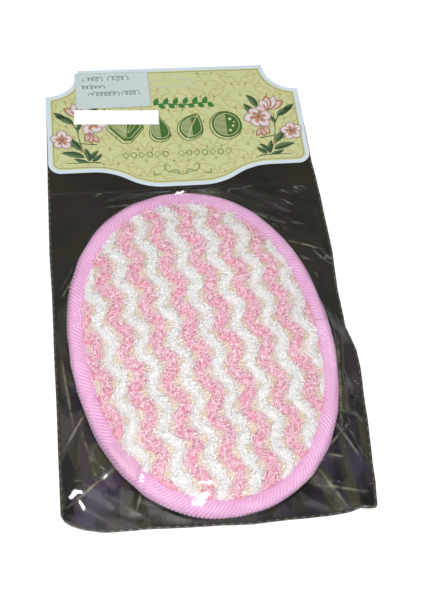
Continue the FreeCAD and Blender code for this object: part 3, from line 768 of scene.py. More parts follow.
def back_cloth():
    """Terry cloth on the back: small loops all over its lower side."""
    share = np.linspace(0, 1, 190)[:, None]
    across, along = disc(share, 520, BACK_INSET)
    loops = 1.0
    for place, seed in ((across, 51), (along, 52)):
        uneven = 1.4 * noise2(across + 300, along + 300, 3, seed)
        loops = loops * np.sin(place * 2 * np.pi / BACK_LOOP + uneven)
    tucked = 1.6 * smooth_step(share, 0.93, 1.0)
    piece = pad_layer("terry_back", across, along, BACK_Z + 0.25 - 0.22 * loops + tucked,
                      BACK_Z + BACK_THICKNESS + tucked * 0.6, "terry")
    assign(piece, "terry", "back_cloth")


def thread(name, starts, ends, radius, node):
    """Round-ended strokes of thread between pairs of points."""
    length = np.linalg.norm(ends - starts, axis=1)[:, None]
    along = (ends - starts) / length
    side = unit(np.cross(along, [0.0, 0.0, 1.0]))
    places = np.array([-1.0, -0.9, -0.45, 0.0, 0.45, 0.9, 1.0])
    widths = np.array([[0.12, 0.7, 1.0, 1.08, 1.0, 0.7, 0.12]])
    line = ((starts + ends) / 2)[:, None] + (along * length / 2)[:, None] * places[:, None]
    points, quads = tubes(line, radius * widths, side[:, None], np.cross(side, along)[:, None], 8)
    assign(quad_object(name, points, quads, "thread"), "thread", node)


def stitches(name, node, sign):
    """Ring of stitches in the crease beside the binding."""
    reach = RIM_RADIUS + STITCH_RADIUS + 0.05
    inset = RIM_RADIUS + reach * math.cos(STITCH_ANGLE)
    turn = np.linspace(0, 2 * np.pi, 721)
    across, along = (PAD_SHORT - inset) * np.cos(turn), (PAD_LONG - inset) * np.sin(turn)
    distance = distances(across, along)
    count = round(distance[-1] / STITCH_PITCH)
    at = (np.arange(count) + 0.1) * distance[-1] / count
    height = RIM_Z + sign * reach * math.sin(STITCH_ANGLE)
    ends = [pad_to_frame(np.interp(d, distance, across), np.interp(d, distance, along), height)
            for d in (at, at + STITCH_LENGTH)]
    thread(name, *ends, STITCH_RADIUS, node)


def strap_half(side, sign):
    """Half of the ribbed elastic strap, from its sewn end to the middle of its free stretch."""
    rows, columns = 130, 62
    along = np.linspace(0, STRAP_FREE / 2 + 0.2 + STRAP_END, rows)[:, None] * sign
    across = np.linspace(-STRAP_WIDTH / 2, STRAP_WIDTH / 2, columns)[None, :]
    ribs = 0.14 * np.sin(2 * np.pi * across / STRAP_RIB)
    ribs = ribs + 0.05 * noise2(along + 200, across + 200, 2.5, 61)
    edge = 0.35 * smooth_step(np.abs(across), STRAP_WIDTH / 2 - 1.2, STRAP_WIDTH / 2)
    crimp = 0.07 * np.sin(2 * np.pi * along / STRAP_CRIMP)
    low = STRAP_Z + 0.25 + ribs * 0.8 + crimp + edge
    high = STRAP_Z + STRAP_THICKNESS - 0.06 - edge
    points = [pad_to_frame(*np.broadcast_arrays(along, across), height) for height in (low, high)]
    quads = slab_quads(rows, columns)
    uv = stacked(along, across).reshape(-1, 2)
    piece = quad_object(f"strap_{side}_half", np.vstack(points), quads[:, ::-1] if sign < 0 else quads,
                        "elastic", np.vstack([uv, uv]))
    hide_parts(f"strap_end_{side}", "strap_band")
    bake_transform(piece)


def bar_tacks(side, sign):
    """Zigzag bar tacks across one sewn end of the strap."""
    middle = (STRAP_FREE / 2 + STRAP_END / 2 + 0.2) * sign
    across = np.arange(-TACK_LENGTH / 2, TACK_LENGTH / 2, TACK_PITCH)
    ends = [np.vstack([pad_to_frame(middle + offset + half, across + shift, STRAP_Z - 0.02)
                       for offset in (-STRAP_END / 4, STRAP_END / 4)])
            for half, shift in ((-TACK_WIDTH / 2, 0), (TACK_WIDTH / 2, TACK_PITCH / 2))]
    thread(f"bar_tacks_{side}", *ends, TACK_RADIUS, f"strap_bar_tacks_{side}")


# ---------------------------------------------------------------- bag

def bag_left(y):
    bend = np.interp(y, [0, 60, 110, 160, 276], [-82.3, -82.6, -82.8, -83.5, -82.6])
    return bend + 0.2 * noise2(y + 200, 0, 33, 71)


def bag_right(y):
    """Straight, but pushed out beside the lower half of the pad and drawn in at the foot."""
    bend = np.interp(y, [-4, 3, 9, 20, 45, 62, 74, 85, 92, 100, 125, 150, 190, 215, 276],
                     [80.2, 81.2, 82.3, 83.1, 85.0, 85.9, 87.2, 86.8, 85.2, 83.2, 82.9, 84.4,
                      84.0, 83.0, 82.6])
    return bend + 0.2 * noise2(y + 200, 40, 11, 72)


def bag_bottom(x):
    """Lower edge: a round left corner, a long shallow sag and a small ear on the right."""
    sag = np.interp(x, [-82.6, -80.5, -77, -71, -62, -35, -10, 14, 55, 66, 72, 78, 82],
                    [7.0, 3.2, 0.9, -1.4, -3.4, -4.2, -5.5, -6.5, -6.4, -5.4, -3.9, -5.2, -4.2])
    return sag + 0.25 * noise2(x + 200, 90, 9, 73)


def bag_grid(rows, columns):
    """Points of the bag's outline, seen from above, at equal shares of its width and length."""
    across, along = np.meshgrid(np.linspace(0, 1, columns), np.linspace(0, 1, rows))
    foot = bag_bottom(-82.4 + 164.4 * across)
    y = foot + (BAG_MOUTH - foot) * along
    return bag_left(y) * (1 - across) + bag_right(y) * across, y


def from_edges(x, y):
    """Distance to the nearest edge of the bag's free film."""
    sides = np.minimum(x - bag_left(y), bag_right(y) - x)
    return np.minimum(np.minimum(sides, y - bag_bottom(x)), CARD_EDGE - y)


def pad_top(x, y):
    """Height of the binding or the face's yarn over a point of the bag, or 0 beside them."""
    across, along = frame_to_pad(x, y + BAG_FOOT)
    share = np.sqrt((across / PAD_SHORT) ** 2 + (along / PAD_LONG) ** 2) + 1e-6
    inset = np.hypot(across, along) * (1 / share - 1) * 0.98
    inside = RIM_RADIUS ** 2 - (inset - RIM_RADIUS) ** 2
    rim = np.where(inside > 0, RIM_Z + np.sqrt(np.clip(inside, 0, None)), 0.0)
    on_face = inside_face(across, along, FACE_INSET + 1.5) > 0
    return np.maximum(np.where(on_face, face_height(across, along) + YARN_RISE, 0), rim)


def facets(x, y, cell, seed):
    """Crumpled film: flat three-cornered facets between sharp creases, from -1 to 1."""
    knots = np.random.default_rng(seed).uniform(-1, 1, (64, 64))
    x = x + 0.35 * cell * noise2(x + 300, y + 300, 1.7 * cell, seed + 1)
    y = y + 0.35 * cell * noise2(x + 300, y + 300, 1.7 * cell, seed + 2)
    across, along = (x + y / math.sqrt(3)) / cell + 16, 2 * y / math.sqrt(3) / cell + 16
    column, row = np.floor(across).astype(int), np.floor(along).astype(int)
    across, along = across - column, along - row
    upper = across + along > 1

    def knot(right, up):
        return knots[(column + right) % 64, (row + up) % 64]

    corner = np.where(upper, knot(1, 1), knot(0, 0))
    share_right = np.where(upper, 1 - along, across)
    share_top = np.where(upper, 1 - across, along)
    return corner * (1 - share_right - share_top) + knot(1, 0) * share_right + knot(0, 1) * share_top


def crumple(x, y, seed):
    """Creased film, most at the bag's foot and beside the upper right of the pad."""
    foot = smooth_step(115 - y, 0, 55)
    shoulder = 0.7 * smooth_step(x - 10, 0, 30) * smooth_step(y - 120, 0, 30)
    strength = 0.18 + 0.82 * np.maximum(foot, shoulder)
    return strength * (2.8 * facets(x, y, 24, seed) + 1.6 * facets(x, y, 11, seed + 5))


def fold_line(x, y, start, end, height, width):
    """One ridge of film pulled tight between two points, fading at its ends."""
    run = np.subtract(end, start)
    length = np.hypot(*run)
    along = ((x - start[0]) * run[0] + (y - start[1]) * run[1]) / length ** 2
    off = ((x - start[0]) * run[1] - (y - start[1]) * run[0]) / length
    return height * np.exp(-(off / width) ** 2) * np.clip(4 * along * (1 - along), 0, 1) ** 0.7


# ridges of the film: start, end, height and width
FOLDS = [((-52, 190), (12, 193), 1.2, 2.0), ((14, 193), (62, 170), 1.4, 2.2),
         ((-30, 196), (-4, 188), 0.8, 1.5), ((-79, 92), (-74, 52), 1.0, 1.8),
         ((-80, 40), (-64, 66), 0.9, 1.4), ((-70, 50), (-62, 18), 0.8, 1.6),
         ((-80, 10), (-52, 30), 1.0, 2.2), ((-45, 4), (-34, 34), 1.0, 1.6),
         ((-12, 15), (6, 9), 0.8, 2.0), ((73, 104), (70, 60), 0.9, 1.4),
         ((78, 96), (70, 40), 0.8, 1.4), ((67, 44), (78, 20), 1.0, 1.5),
         ((58, 28), (76, 44), 0.8, 1.2), ((44, 12), (78, 4), 1.0, 2.2),
         ((52, 20), (66, -4), 0.9, 2.0), ((58, 160), (80, 152), 0.9, 2.0),
         ((-78, 130), (-66, 150), 0.6, 1.6), ((60, 26), (68, 24), 1.0, 1.4)]

# facets that face the lamp: place, half width, half length, direction of the length in degrees
GLINTS = [(-74.5, 15.5, 3.2, 3.4, 60), (-71.5, 11.0, 1.6, 3.0, 120), (-40.5, 20.0, 1.7, 3.6, 70),
          (-36.0, 27.0, 0.8, 4.6, 50), (-9.5, 13.5, 1.6, 5.6, 172), (-14.0, 16.0, 1.2, 2.0, 30),
          (68.1, 27.7, 1.0, 1.6, 40), (-32.5, 0.6, 0.9, 2.6, 5), (-14.7, -1.6, 0.8, 2.2, 5),
          (-4.2, 190.7, 1.5, 4.2, 5), (-81.0, 25.0, 0.6, 1.4, 80), (57.0, 180.0, 0.6, 5.0, 150),
          (73.5, 41.0, 0.5, 3.4, 115), (77.0, 52.0, 0.5, 3.0, 60), (79.5, 20.0, 0.5, 2.4, 100)]


def with_glints(x, y, film):
    """Lay a small flat facet in the film at each glint, which mirrors the lamp into the camera."""
    for middle_x, middle_y, half_width, half_length, degrees in GLINTS:
        here = Vector((middle_x * MM, (middle_y + BAG_FOOT) * MM, 0.004))
        normal = (Vector(VIEW_PLACE) - here).normalized() + (Vector(LAMP_PLACE) - here).normalized()
        lean_x, lean_y = -normal.x / normal.z, -normal.y / normal.z
        off_x, off_y = x - middle_x, y - middle_y
        turn = math.radians(degrees)
        along, across = turned(off_x, off_y, -turn)
        level = film[np.unravel_index(np.argmin(off_x ** 2 + off_y ** 2), x.shape)]
        drop = half_width * abs(math.cos(turn)) + half_length * abs(math.sin(turn))
        facet = level + abs(lean_y) * drop + lean_x * off_x + lean_y * off_y
        reach = np.maximum(np.abs(along / half_length), np.abs(across / half_width))
        share = smooth_step(1.5 - reach, 0, 0.5)
        film = film * (1 - share) + facet * share
    return film


def edge_lift(x, y):
    """How far the welded edges curl up from the table."""
    ear = 2.0 * np.exp(-((x - 78) / 8) ** 2 - ((y + 3) / 9) ** 2)
    corner = 0.9 * np.exp(-((x + 78) / 10) ** 2 - ((y - 6) / 9) ** 2)
    ripple = 0.5 * (0.5 + 0.5 * noise2(x + 200, y + 200, 12, 75)) * smooth_step(190 - y, 0, 30)
    return ear + corner + ripple


def tent(at_x, at_y):
    """Film stretched over the pad: relaxed until each free point is the mean of its neighbours."""
    left, foot, step, passes = -90, -15, 1.5, 1500
    x, y = np.meshgrid(np.arange(left, 90.1, step), np.arange(foot, 282, step))
    held = pad_top(x, y)
    held = np.where(held > 0, held + 0.5, 0.0)
    under_card = y > CARD_EDGE
    fixed = (x < bag_left(y) + 1.5) | (x > bag_right(y) - 1.5) | (y < bag_bottom(x) + 1.5) | under_card
    level = np.where(under_card, FILM_UNDER_CARD, 0.3 + edge_lift(x, y))
    film = np.maximum(held, level)
    for _ in range(passes):
        mean = (np.roll(film, 1, 0) + np.roll(film, -1, 0) + np.roll(film, 1, 1)
                + np.roll(film, -1, 1)) / 4
        film = np.where(fixed, level, np.maximum(held, mean))
    return sampled(film, (at_x - left) / step, (at_y - foot) / step)


def rear_height(x, y):
    """The rear film lies on the table, crinkled where the pad doesn't press it down."""
    free = smooth_step(from_edges(x, y), 0, 9) * np.where(pad_top(x, y) > 0, 0.0, 1.0)
    crinkle = 0.5 * np.clip(0.8 + crumple(x, y, 91), 0, 3) * free
    level = REAR_Z + (REAR_UNDER_CARD - REAR_Z) * smooth_step(y, *UNDER_CARD)
    return level + crinkle + edge_lift(x, y) * (1 - smooth_step(from_edges(x, y), 0, 14))


def front_height(x, y):
    """The front film is a tent over the pad, creased beside it and flat under the card."""
    edge, top = smooth_step(from_edges(x, y), 0, 9), pad_top(x, y)
    creases = crumple(x, y, 95) * (1 - 0.9 * smooth_step(top, 6, 9))
    creases = creases + sum(fold_line(x, y, *fold) for fold in FOLDS)
    lowest = np.maximum(np.where(top > 0, top + 0.2, 0), rear_height(x, y) + 0.12)
    film = np.maximum(with_glints(x, y, tent(x, y) + creases * edge), lowest)
    return np.where(y > UNDER_CARD[1], FILM_UNDER_CARD, film)


def flatten(piece):
    """Gives the piece its own copy of its mesh."""
    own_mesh(piece)


def bag_film(name, rows, columns, height, slot):
    x, y = bag_grid(rows, columns)
    piece = quad_object(name, bag_points(x, y, height(x, y)), grid_quads(rows, columns), slot)
    # Crease marks the folds, where the dark film's material paints pale highlight lines.
    creases = sum(fold_line(x, y, start, end, 1.0, 0.45) for start, end, _, _ in FOLDS)
    paint(piece, "Crease", np.clip(creases, 0, 1))
    assign(piece, slot, "bag_" + name, body="pack")
    flatten(piece)


def seal(side, line_x, line_y, inward_x, inward_y):
    """Welded edge: a narrow strip with a row of pressed dashes along it."""
    distance = distances(line_x, line_y)
    at = np.arange(0, distance[-1], 0.35)[:, None]
    across = np.linspace(-0.1, 1.5, 9)[None, :]
    dash = np.clip(4 * np.cos(2 * np.pi * at / DASH_PITCH) - 1.2, 0, 1)
    pillow = 0.16 * dash * np.clip(1 - ((across - SEAL_MIDDLE) / 0.4) ** 2, 0, 1)
    x = np.interp(at, distance, line_x) + inward_x * across
    y = np.interp(at, distance, line_y) + inward_y * across
    level = SEAL_Z + edge_lift(x, y) + (FILM_UNDER_CARD - SEAL_Z) * smooth_step(y, *UNDER_CARD)
    uv = stacked(at, across).reshape(-1, 2)
    points = [bag_points(x, y, height) for height in (level + pillow, level - 0.2)]
    piece = quad_object("seal_" + side, np.vstack(points), slab_quads(*x.shape), "seal",
                        np.vstack([uv, uv]))
    assign(piece, "dark_film", "bag_seal_" + side, body="pack")
    flatten(piece)


# ---------------------------------------------------------------- header card

def arc_points(start, end, radius, count=24):
    """Arc from start up to end; a positive radius turns left, a negative one right."""
    start, end = np.array(start, float), np.array(end, float)
    chord = end - start
    length = np.hypot(*chord)
    left = np.array([-chord[1], chord[0]]) / length
    reach = math.sqrt(max(radius ** 2 - length ** 2 / 4, 0.0))
    centre = start + chord / 2 + left * math.copysign(reach, radius)
    first, last = (math.atan2(*(place - centre)[::-1]) for place in (start, end))
    turn = (last - first) % (2 * math.pi) if radius > 0 else -((first - last) % (2 * math.pi))
    angle = first + turn * np.arange(count) / count
    return centre + abs(radius) * stacked(np.cos(angle), np.sin(angle))


def traced(corners):
    """Closed outline from corners; one with a third number starts an arc of that radius."""
    points = []
    for corner, following in zip(corners, corners[1:] + corners[:1]):
        if len(corner) == 3:
            points.append(arc_points(corner[:2], following[:2], corner[2]))
        else:
            span = np.subtract(following[:2], corner[:2])
            count = max(2, int(np.hypot(*span) / 2.0))
            points.append(np.array(corner[:2]) + span * np.arange(count)[:, None] / count)
    return np.vstack(points)


def card_outline():
    """The card's front, anticlockwise: curved tongue, square sides and hollow shoulders."""
    curve_x, curve_y = (TONGUE_SIDE - TONGUE_FLAT) / 2, (CARD_STRAIGHT - TONGUE_LOW) / 2
    bend = (curve_x ** 2 + curve_y ** 2) / (2 * curve_y)
    knee_x, knee_y = TONGUE_FLAT + curve_x, TONGUE_LOW + curve_y
    side_x, side_y = CARD_SIDE - CARD_CORNER, CARD_STRAIGHT + CARD_CORNER
    return traced([
        (TONGUE_FLAT, TONGUE_LOW, bend), (knee_x, knee_y, -bend), (TONGUE_SIDE, CARD_STRAIGHT),
        (side_x, CARD_STRAIGHT, CARD_CORNER), (CARD_SIDE, side_y),
        (CARD_SIDE, SHOULDER_Y, -SHOULDER_RADIUS), (CARD_TOP_SIDE, CARD_TOP),
        (-CARD_TOP_SIDE, CARD_TOP, -SHOULDER_RADIUS), (-CARD_SIDE, SHOULDER_Y),
        (-CARD_SIDE, side_y, CARD_CORNER), (-side_x, CARD_STRAIGHT),
        (-TONGUE_SIDE, CARD_STRAIGHT, -bend), (-knee_x, knee_y, bend), (-TONGUE_FLAT, TONGUE_LOW)])


def slot_outline(inset):
    """Hang slot with rounded ends and a taller round middle, drawn in by inset."""
    end, reach = SLOT_WING / 2 - inset, SLOT_WIDTH / 2 - SLOT_WING / 2
    low, high = SLOT_LOW + inset, SLOT_LOW + SLOT_WING - inset
    crown = SLOT_CROWN / 2 - inset
    crown_low = SLOT_TOP - inset - crown
    return traced([(-reach, low), (reach, low, end), (reach, high), (crown, high),
                   (crown, crown_low, crown), (-crown, crown_low), (-crown, high),
                   (-reach, high, end)])


def inset_outline(points, inset):
    """Closed anticlockwise outline moved inwards, without the points that come too near it."""
    ahead, behind = np.roll(points, -1, axis=0), np.roll(points, 1, axis=0)
    first, second = points - behind, ahead - points
    normals = [stacked(-run[:, 1], run[:, 0]) / (np.hypot(*run.T)[:, None] + 1e-9)
               for run in (first, second)]
    normal = normals[0] + normals[1]
    normal = normal / np.sum(normal * normals[0], axis=1)[:, None]
    moved = points + normal * inset
    off = moved[:, None] - behind[None]
    share = np.clip(np.sum(off * first[None], axis=2) / (np.sum(first ** 2, axis=1) + 1e-9), 0, 1)
    gap = np.linalg.norm(off - share[..., None] * first[None], axis=2).min(axis=1)
    return moved[gap > 0.985 * abs(inset)]


def inside_outline(x, y, outline):
    """True for points inside a closed outline."""
    x, y = np.asarray(x)[..., None], np.asarray(y)[..., None]
    x1, y1 = outline.T
    x2, y2 = np.roll(x1, -1), np.roll(y1, -1)
    crosses = (y1 > y) != (y2 > y)
    at = x1 + (y - y1) * (x2 - x1) / np.where(y2 == y1, 1e-9, y2 - y1)
    return np.sum(crosses & (x < at), axis=-1) % 2 == 1


class Print:
    """Thin printed shapes on the card, gathered into one piece with a material for each ink."""

    def __init__(self, lowest=0):
        self.lowest = lowest
        self.points, self.faces, self.inks, self.inks_used = [], [], [], []

    def add(self, points, faces, ink, layer):
        if ink not in self.inks_used:
            self.inks_used.append(ink)
        height = CARD_FACE + PRINT_STEP * (self.lowest + layer + 1)
        first = len(self.points)
        self.points += [(float(x) * MM, (float(y) + BAG_FOOT) * MM, height * MM) for x, y in points]
        self.faces += [tuple(first + number for number in face) for face in faces]
        self.inks += [self.inks_used.index(ink)] * len(faces)

    def area(self, ink, layer, *loops):
        """Filled outline; a second loop is a hole in it."""
        flat = [[Vector((x, y, 0)) for x, y in loop] for loop in loops]
        self.add(np.vstack(loops), tessellate_polygon(flat), ink, layer)

    def fan(self, outline, ink, layer):
        """Filled outline round its own middle."""
        count = len(outline)
        faces = [(0, 1 + number, 1 + (number + 1) % count) for number in range(count)]
        self.add(np.vstack([np.mean(outline, axis=0), outline]), faces, ink, layer)

    def stroke(self, line, width, ink, layer, closed=False):
        """Line of print; width is one number or one for each point."""
        line = np.asarray(line, float)
        count = len(line)
        if closed:
            run = np.roll(line, -1, axis=0) - np.roll(line, 1, axis=0)
        else:
            run = np.gradient(line, axis=0)
        length = np.hypot(*run.T)[:, None] + 1e-9
        side = stacked(-run[:, 1], run[:, 0]) / length * np.reshape(width, (-1, 1)) / 2
        faces = [(n, (n + 1) % count, count + (n + 1) % count, count + n)
                 for n in range(count if closed else count - 1)]
        self.add(np.vstack([line - side, line + side]), faces, ink, layer)

    def dot(self, x, y, radius, ink, layer, sides=8):
        turn = circle(sides)
        self.fan(stacked(x + radius * np.cos(turn), y + radius * np.sin(turn)), ink, layer)

    def piece(self, name, body="header", slot="printed_card"):
        mesh = bpy.data.meshes.new(name)
        mesh.from_pydata(self.points, [], self.faces)
        for ink in self.inks_used:
            mesh.materials.append(MATERIALS[ink])
        mesh.polygons.foreach_set("material_index", self.inks)
        mesh.update()
        assign(linked(name, mesh), slot, body=body)


def path(x, y, angle, step):
    """Line from x, y in steps towards each angle in turn."""
    return stacked(x + summed(np.cos(angle[:-1]) * step), y + summed(np.sin(angle[:-1]) * step))


def scroll(x, y, heading, length, bend_start, bend_end):
    """Curled line that starts at x, y; its bend, in radians a millimetre, grows along it."""
    share = np.linspace(0, 1, 30)
    step = length / (len(share) - 1)
    bend = bend_start + (bend_end - bend_start) * share[:-1] ** 1.5
    return path(x, y, heading + summed(bend * step), step)


def leaf_outline(x, y, heading, length, width, bend=0.0, fullness=0.8):
    """Outline and middle of a pointed leaf that starts at x, y and may bend, in radians."""
    share = np.linspace(0, 1, 15)
    angle = heading + bend * share
    middle = path(x, y, angle, length / (len(share) - 1))
    half = width / 2 * np.sin(np.pi * share ** fullness) ** 0.85
    side = stacked(-np.sin(angle), np.cos(angle)) * half[:, None]
    return np.vstack([middle - side, (middle + side)[-2:0:-1]]), middle


def clear_stretches(line, outline):
    """The stretches of a line that lie inside an outline and off the hang slot."""
    x, y = line.T
    slot = ((np.abs(x) < SLOT_WIDTH / 2 + SLOT_CLEAR) & (y > SLOT_LOW - SLOT_CLEAR)
            & (y < SLOT_TOP + SLOT_CLEAR))
    good = inside_outline(x, y, outline) & ~slot
    cuts = [0, *np.flatnonzero(np.diff(good.astype(int))) + 1, len(line)]
    return [(first, stop) for first, stop in zip(cuts, cuts[1:]) if good[first] and stop - first > 2]


def damask(prints, outline):
    """Faint scrollwork all over the field: mirrored curls round a bud, on a half-drop lattice."""
    curls = [(0, -9, 0.35, 24, -0.02, 0.55), (0, -9, 1.2, 13, 0.05, -0.75),
             (4.8, -1, 0.2, 12, -0.1, 0.8), (1.5, 6.5, 1.0, 12, -0.05, 0.85),
             (1.5, 6.5, -0.2, 11, 0.05, -0.8)]
    strokes = 0
    for column in range(-4, 5):
        for row in range(-1, 6):
            centre = np.array([column * SCROLL_PITCH_X,
                               SCROLL_FOOT + (row + 0.5 * (column % 2)) * SCROLL_PITCH_Y])
            for side in (-1, 1):
                for curl in curls:
                    line = scroll(*curl) * (side, 1) + centre
                    width = 0.62 * np.sin(np.linspace(0.35, np.pi - 0.25, len(line))) + 0.2
                    strokes += 1
                    for first, stop in clear_stretches(line, outline):
                        prints.stroke(line[first:stop], width[first:stop], "ghost",
                                      1 + 0.4 * (strokes % 7))
            bud, _ = leaf_outline(*centre + (0, 1.5), math.pi / 2, 4.4, 2.2)
            if len(clear_stretches(bud, outline)) == 1 and inside_outline(*bud.T, outline).all():
                prints.fan(bud, "ghost", 4)


def leaf(prints, *shape):
    """Green leaf with a dark half, a midrib and side veins."""
    outline, middle = leaf_outline(*shape)
    half = len(middle)
    prints.fan(outline, "leaf", 4)
    prints.fan(np.vstack([outline[:half], middle[-2:0:-1]]), "leaf_dark", 5)
    prints.stroke(middle, 0.28, "leaf_dark", 6)
    prints.stroke(outline, 0.22, "leaf_dark", 6, closed=True)
    for number in range(3, half - 3, 3):
        prints.stroke([middle[number], outline[len(outline) - number + 1]], 0.16, "leaf_dark", 6)


def petal(prints, x, y, heading, length, width, inks, layer, bend):
    """Flower petal in three tones, with an outline and a fine vein."""
    tones = zip((1.0, 0.86, 0.62), (1.0, 0.72, 0.36), inks)
    for number, (long, wide, ink) in enumerate(tones):
        outline, middle = leaf_outline(x, y, heading, length * long, width * wide, bend, 1.25)
        prints.fan(outline, ink, layer + 0.2 * number)
        if number == 0:
            prints.stroke(outline, 0.36, "brown", layer + 0.7, closed=True)
            prints.stroke(middle[1:-3], 0.18, "peach", layer + 0.7)


def flower(prints, x, y, radius, turn, inks, petals):
    """Open flower seen from the front, with overlapping petals and stamens."""
    for number in range(petals):
        long = radius * (1.0 + 0.12 * math.sin(3 * number + turn))
        petal(prints, x, y, turn + number * 2 * math.pi / petals, long, radius * 0.86, inks,
              5 + number, 0.25)
    for number in range(6):
        angle = turn + 0.4 + number * math.pi / 3
        tip = (x + radius * 0.34 * math.cos(angle), y + radius * 0.34 * math.sin(angle))
        prints.stroke([(x, y), tip], 0.2, "brown", 11)
        prints.dot(*tip, 0.32, "brown", 11.5)


STEMS = [(57, 224, 62, 33, 0.02, 0.01), (60, 231, 35, 17, -0.01, 0.05), (52, 236.5, 4, 14, 0.02, 0.01),
         (63, 246, 70, 14, -0.03, 0.0), (50, 222.5, 8, 22, -0.02, 0.03)]
LEAVES = [(57, 225, 118, 9, 3.0, 0.5), (55.5, 224, 150, 8.5, 2.8, -0.4), (57, 224, 84, 10.5, 3.2, -0.3),
          (60, 227, 28, 15, 4.2, -0.45), (62, 233, 48, 12, 4.2, 0.3), (58, 223.5, 8, 9, 2.6, 0.4),
          (53.5, 261.5, 104, 12, 4.4, 0.6), (51, 257, 140, 9.5, 4.6, -0.5),
          (66, 253.5, 42, 13, 4.4, -0.4), (71, 258.5, 22, 8.5, 3.4, 0.4), (64, 248, 110, 7, 2.6, 0.3)]


def spray(side):
    """Spray of flowers, buds and leaves beside the middle of the card; side is 1 or -1."""
    prints = Print(ORNAMENT_LAYER)

    def way(degrees):
        return math.radians(degrees if side > 0 else 180 - degrees)

    for number, (x, y, degrees, length, bend_start, bend_end) in enumerate(STEMS):
        line = scroll(side * x, y, way(degrees), length, side * bend_start, side * bend_end)
        prints.stroke(line, np.linspace(0.8, 0.35, len(line)), "leaf_dark", 2.8 + 0.25 * number)
    for x, y, degrees, length, width, bend in LEAVES:
        leaf(prints, side * x, y, way(degrees), length, width, side * bend)
    warm, pale = ("peach", "blush", "peach"), ("blush", "white", "peach")
    for number, (degrees, length) in enumerate(((28, 14), (54, 13), (80, 12), (108, 9.5))):
        petal(prints, side * 60, 258.5, way(degrees), length, 5.6, pale if number % 2 else warm,
              5 + number, side * 0.25)
    for number, degrees in enumerate((248, 276, 300)):
        petal(prints, side * 55.5, 247, way(degrees), 10.5 - number, 3.6, warm, 5 + number,
              side * -0.3)
    flower(prints, side * 53.5, 253.5, 9.3, way(64), pale, 6)
    flower(prints, side * 73.5, 241, 7.4, way(22), pale, 5)
    prints.dot(side * 60.5, 231.5, 0.9, "peach", 6)
    return prints


def hatched(prints, outline, holes=()):
    """Large green motif with a hatched light side and a thin shadow line."""
    middle = outline.mean(axis=0)
    prints.stroke((outline - middle) * 1.08 + middle + (-0.7, -0.7), 0.6, "green", 3, closed=True)
    prints.area("green", 4, outline)
    inner = (outline - middle) * 0.84 + middle
    prints.stroke(inner, 0.4, "cream", 5, closed=True)
    low, high = inner[:, 1].min(), inner[:, 1].max()
    x = np.linspace(inner[:, 0].min(), middle[0] - 0.3, 60)
    for y in np.arange(low + 0.9, high - 0.3, 0.95):
        inside = x[inside_outline(x, x * 0 + y, inner)]
        if len(inside):
            prints.stroke([(inside[0] + 0.4, y), (inside[-1], y)], 0.42, "cream", 5)
    for hole in holes:
        prints.dot(*hole, "cream", 6, 20)


def motifs(prints):
    """Four bath motifs across the middle of the card: shell, drop, leaf and sponge."""
    turn = circle(72)
    ray = np.linspace(0.12 * np.pi, 0.88 * np.pi, 49)
    rim = 11.5 * (1 + 0.05 * np.abs(np.sin(4.5 * (ray - 0.12 * np.pi) / 0.76)))
    shell = np.vstack([[(-2.4, 0), (2.4, 0)], stacked(rim * np.cos(ray), 6 + rim * np.sin(ray))])
    hatched(prints, shell + (-32.5, 238.5))
    for degrees in range(50, 131, 20):
        way = np.array([math.cos(math.radians(degrees)), math.sin(math.radians(degrees))])
        prints.stroke([(-32.5 + 2 * way[0], 244.5), (-32.5, 244.5) + 10 * way], 0.35, "cream", 6)
    drop = stacked(8.4 * np.sin(turn) * np.sin(turn / 2) ** 1.2, 7 - 9.5 * np.cos(turn))
    hatched(prints, (drop * (1, -1))[::-1] + (-11, 254.5))
    blade, middle = leaf_outline(6, 238.0, math.radians(76), 21.5, 15.5, -0.35)
    hatched(prints, blade)
    prints.stroke(middle, 0.5, "cream", 6)
    hatched(prints, stacked(9.6 * np.cos(turn), 10.4 * np.sin(turn)) + (32, 248.3),
            [(34.5, 252.5, 1.1), (36, 247, 0.9), (33.8, 243.5, 1.0), (37, 250, 0.6)])


def small_ornaments(prints):
    """Row of bright leaves above the motifs, diamonds and rings below, and a thin flourish."""
    stem = stacked(np.linspace(-14, 24, 40), 266.2 + 0.7 * np.sin(np.linspace(0, 9, 40)))
    prints.stroke(stem, 1.0, "bright", 3)
    for number in range(12):
        degrees, length = (-44, 5.0) if number % 2 else (56, 6.4)
        outline, _ = leaf_outline(-13.5 + 3.2 * number, 266.2, math.radians(degrees), length, 3.6, 0.4)
        prints.fan(outline, "bright", 4)
    turn = circle(16)
    diamond = np.array([(1.9, 0), (0, 2.4), (-1.9, 0), (0, -2.4)])
    ring = stacked(1.75 * np.cos(turn), 2.0 * np.sin(turn))
    for number in range(13):
        x = -34.5 + 5.0 * number + (5.0 if number > 5 else 0.0)
        prints.stroke((ring if number % 2 else diamond) + (x, 227.2), 0.5, "green", 3, closed=True)
    curls = ((0.4, 210.6, 0.75, 19, -0.16, 0.95), (6.5, 213.8, 2.6, 8, 0.25, 0.9),
             (13, 212.0, -0.4, 8, 0.1, 1.0))
    for number, (side, curl) in enumerate((side, curl) for side in (-1, 1) for curl in curls):
        line = scroll(*curl) * (side, 1)
        width = 0.5 * np.sin(np.linspace(0.4, np.pi - 0.3, len(line))) + 0.14
        prints.stroke(line, width, "leaf", 3 + 0.3 * (number + 1))


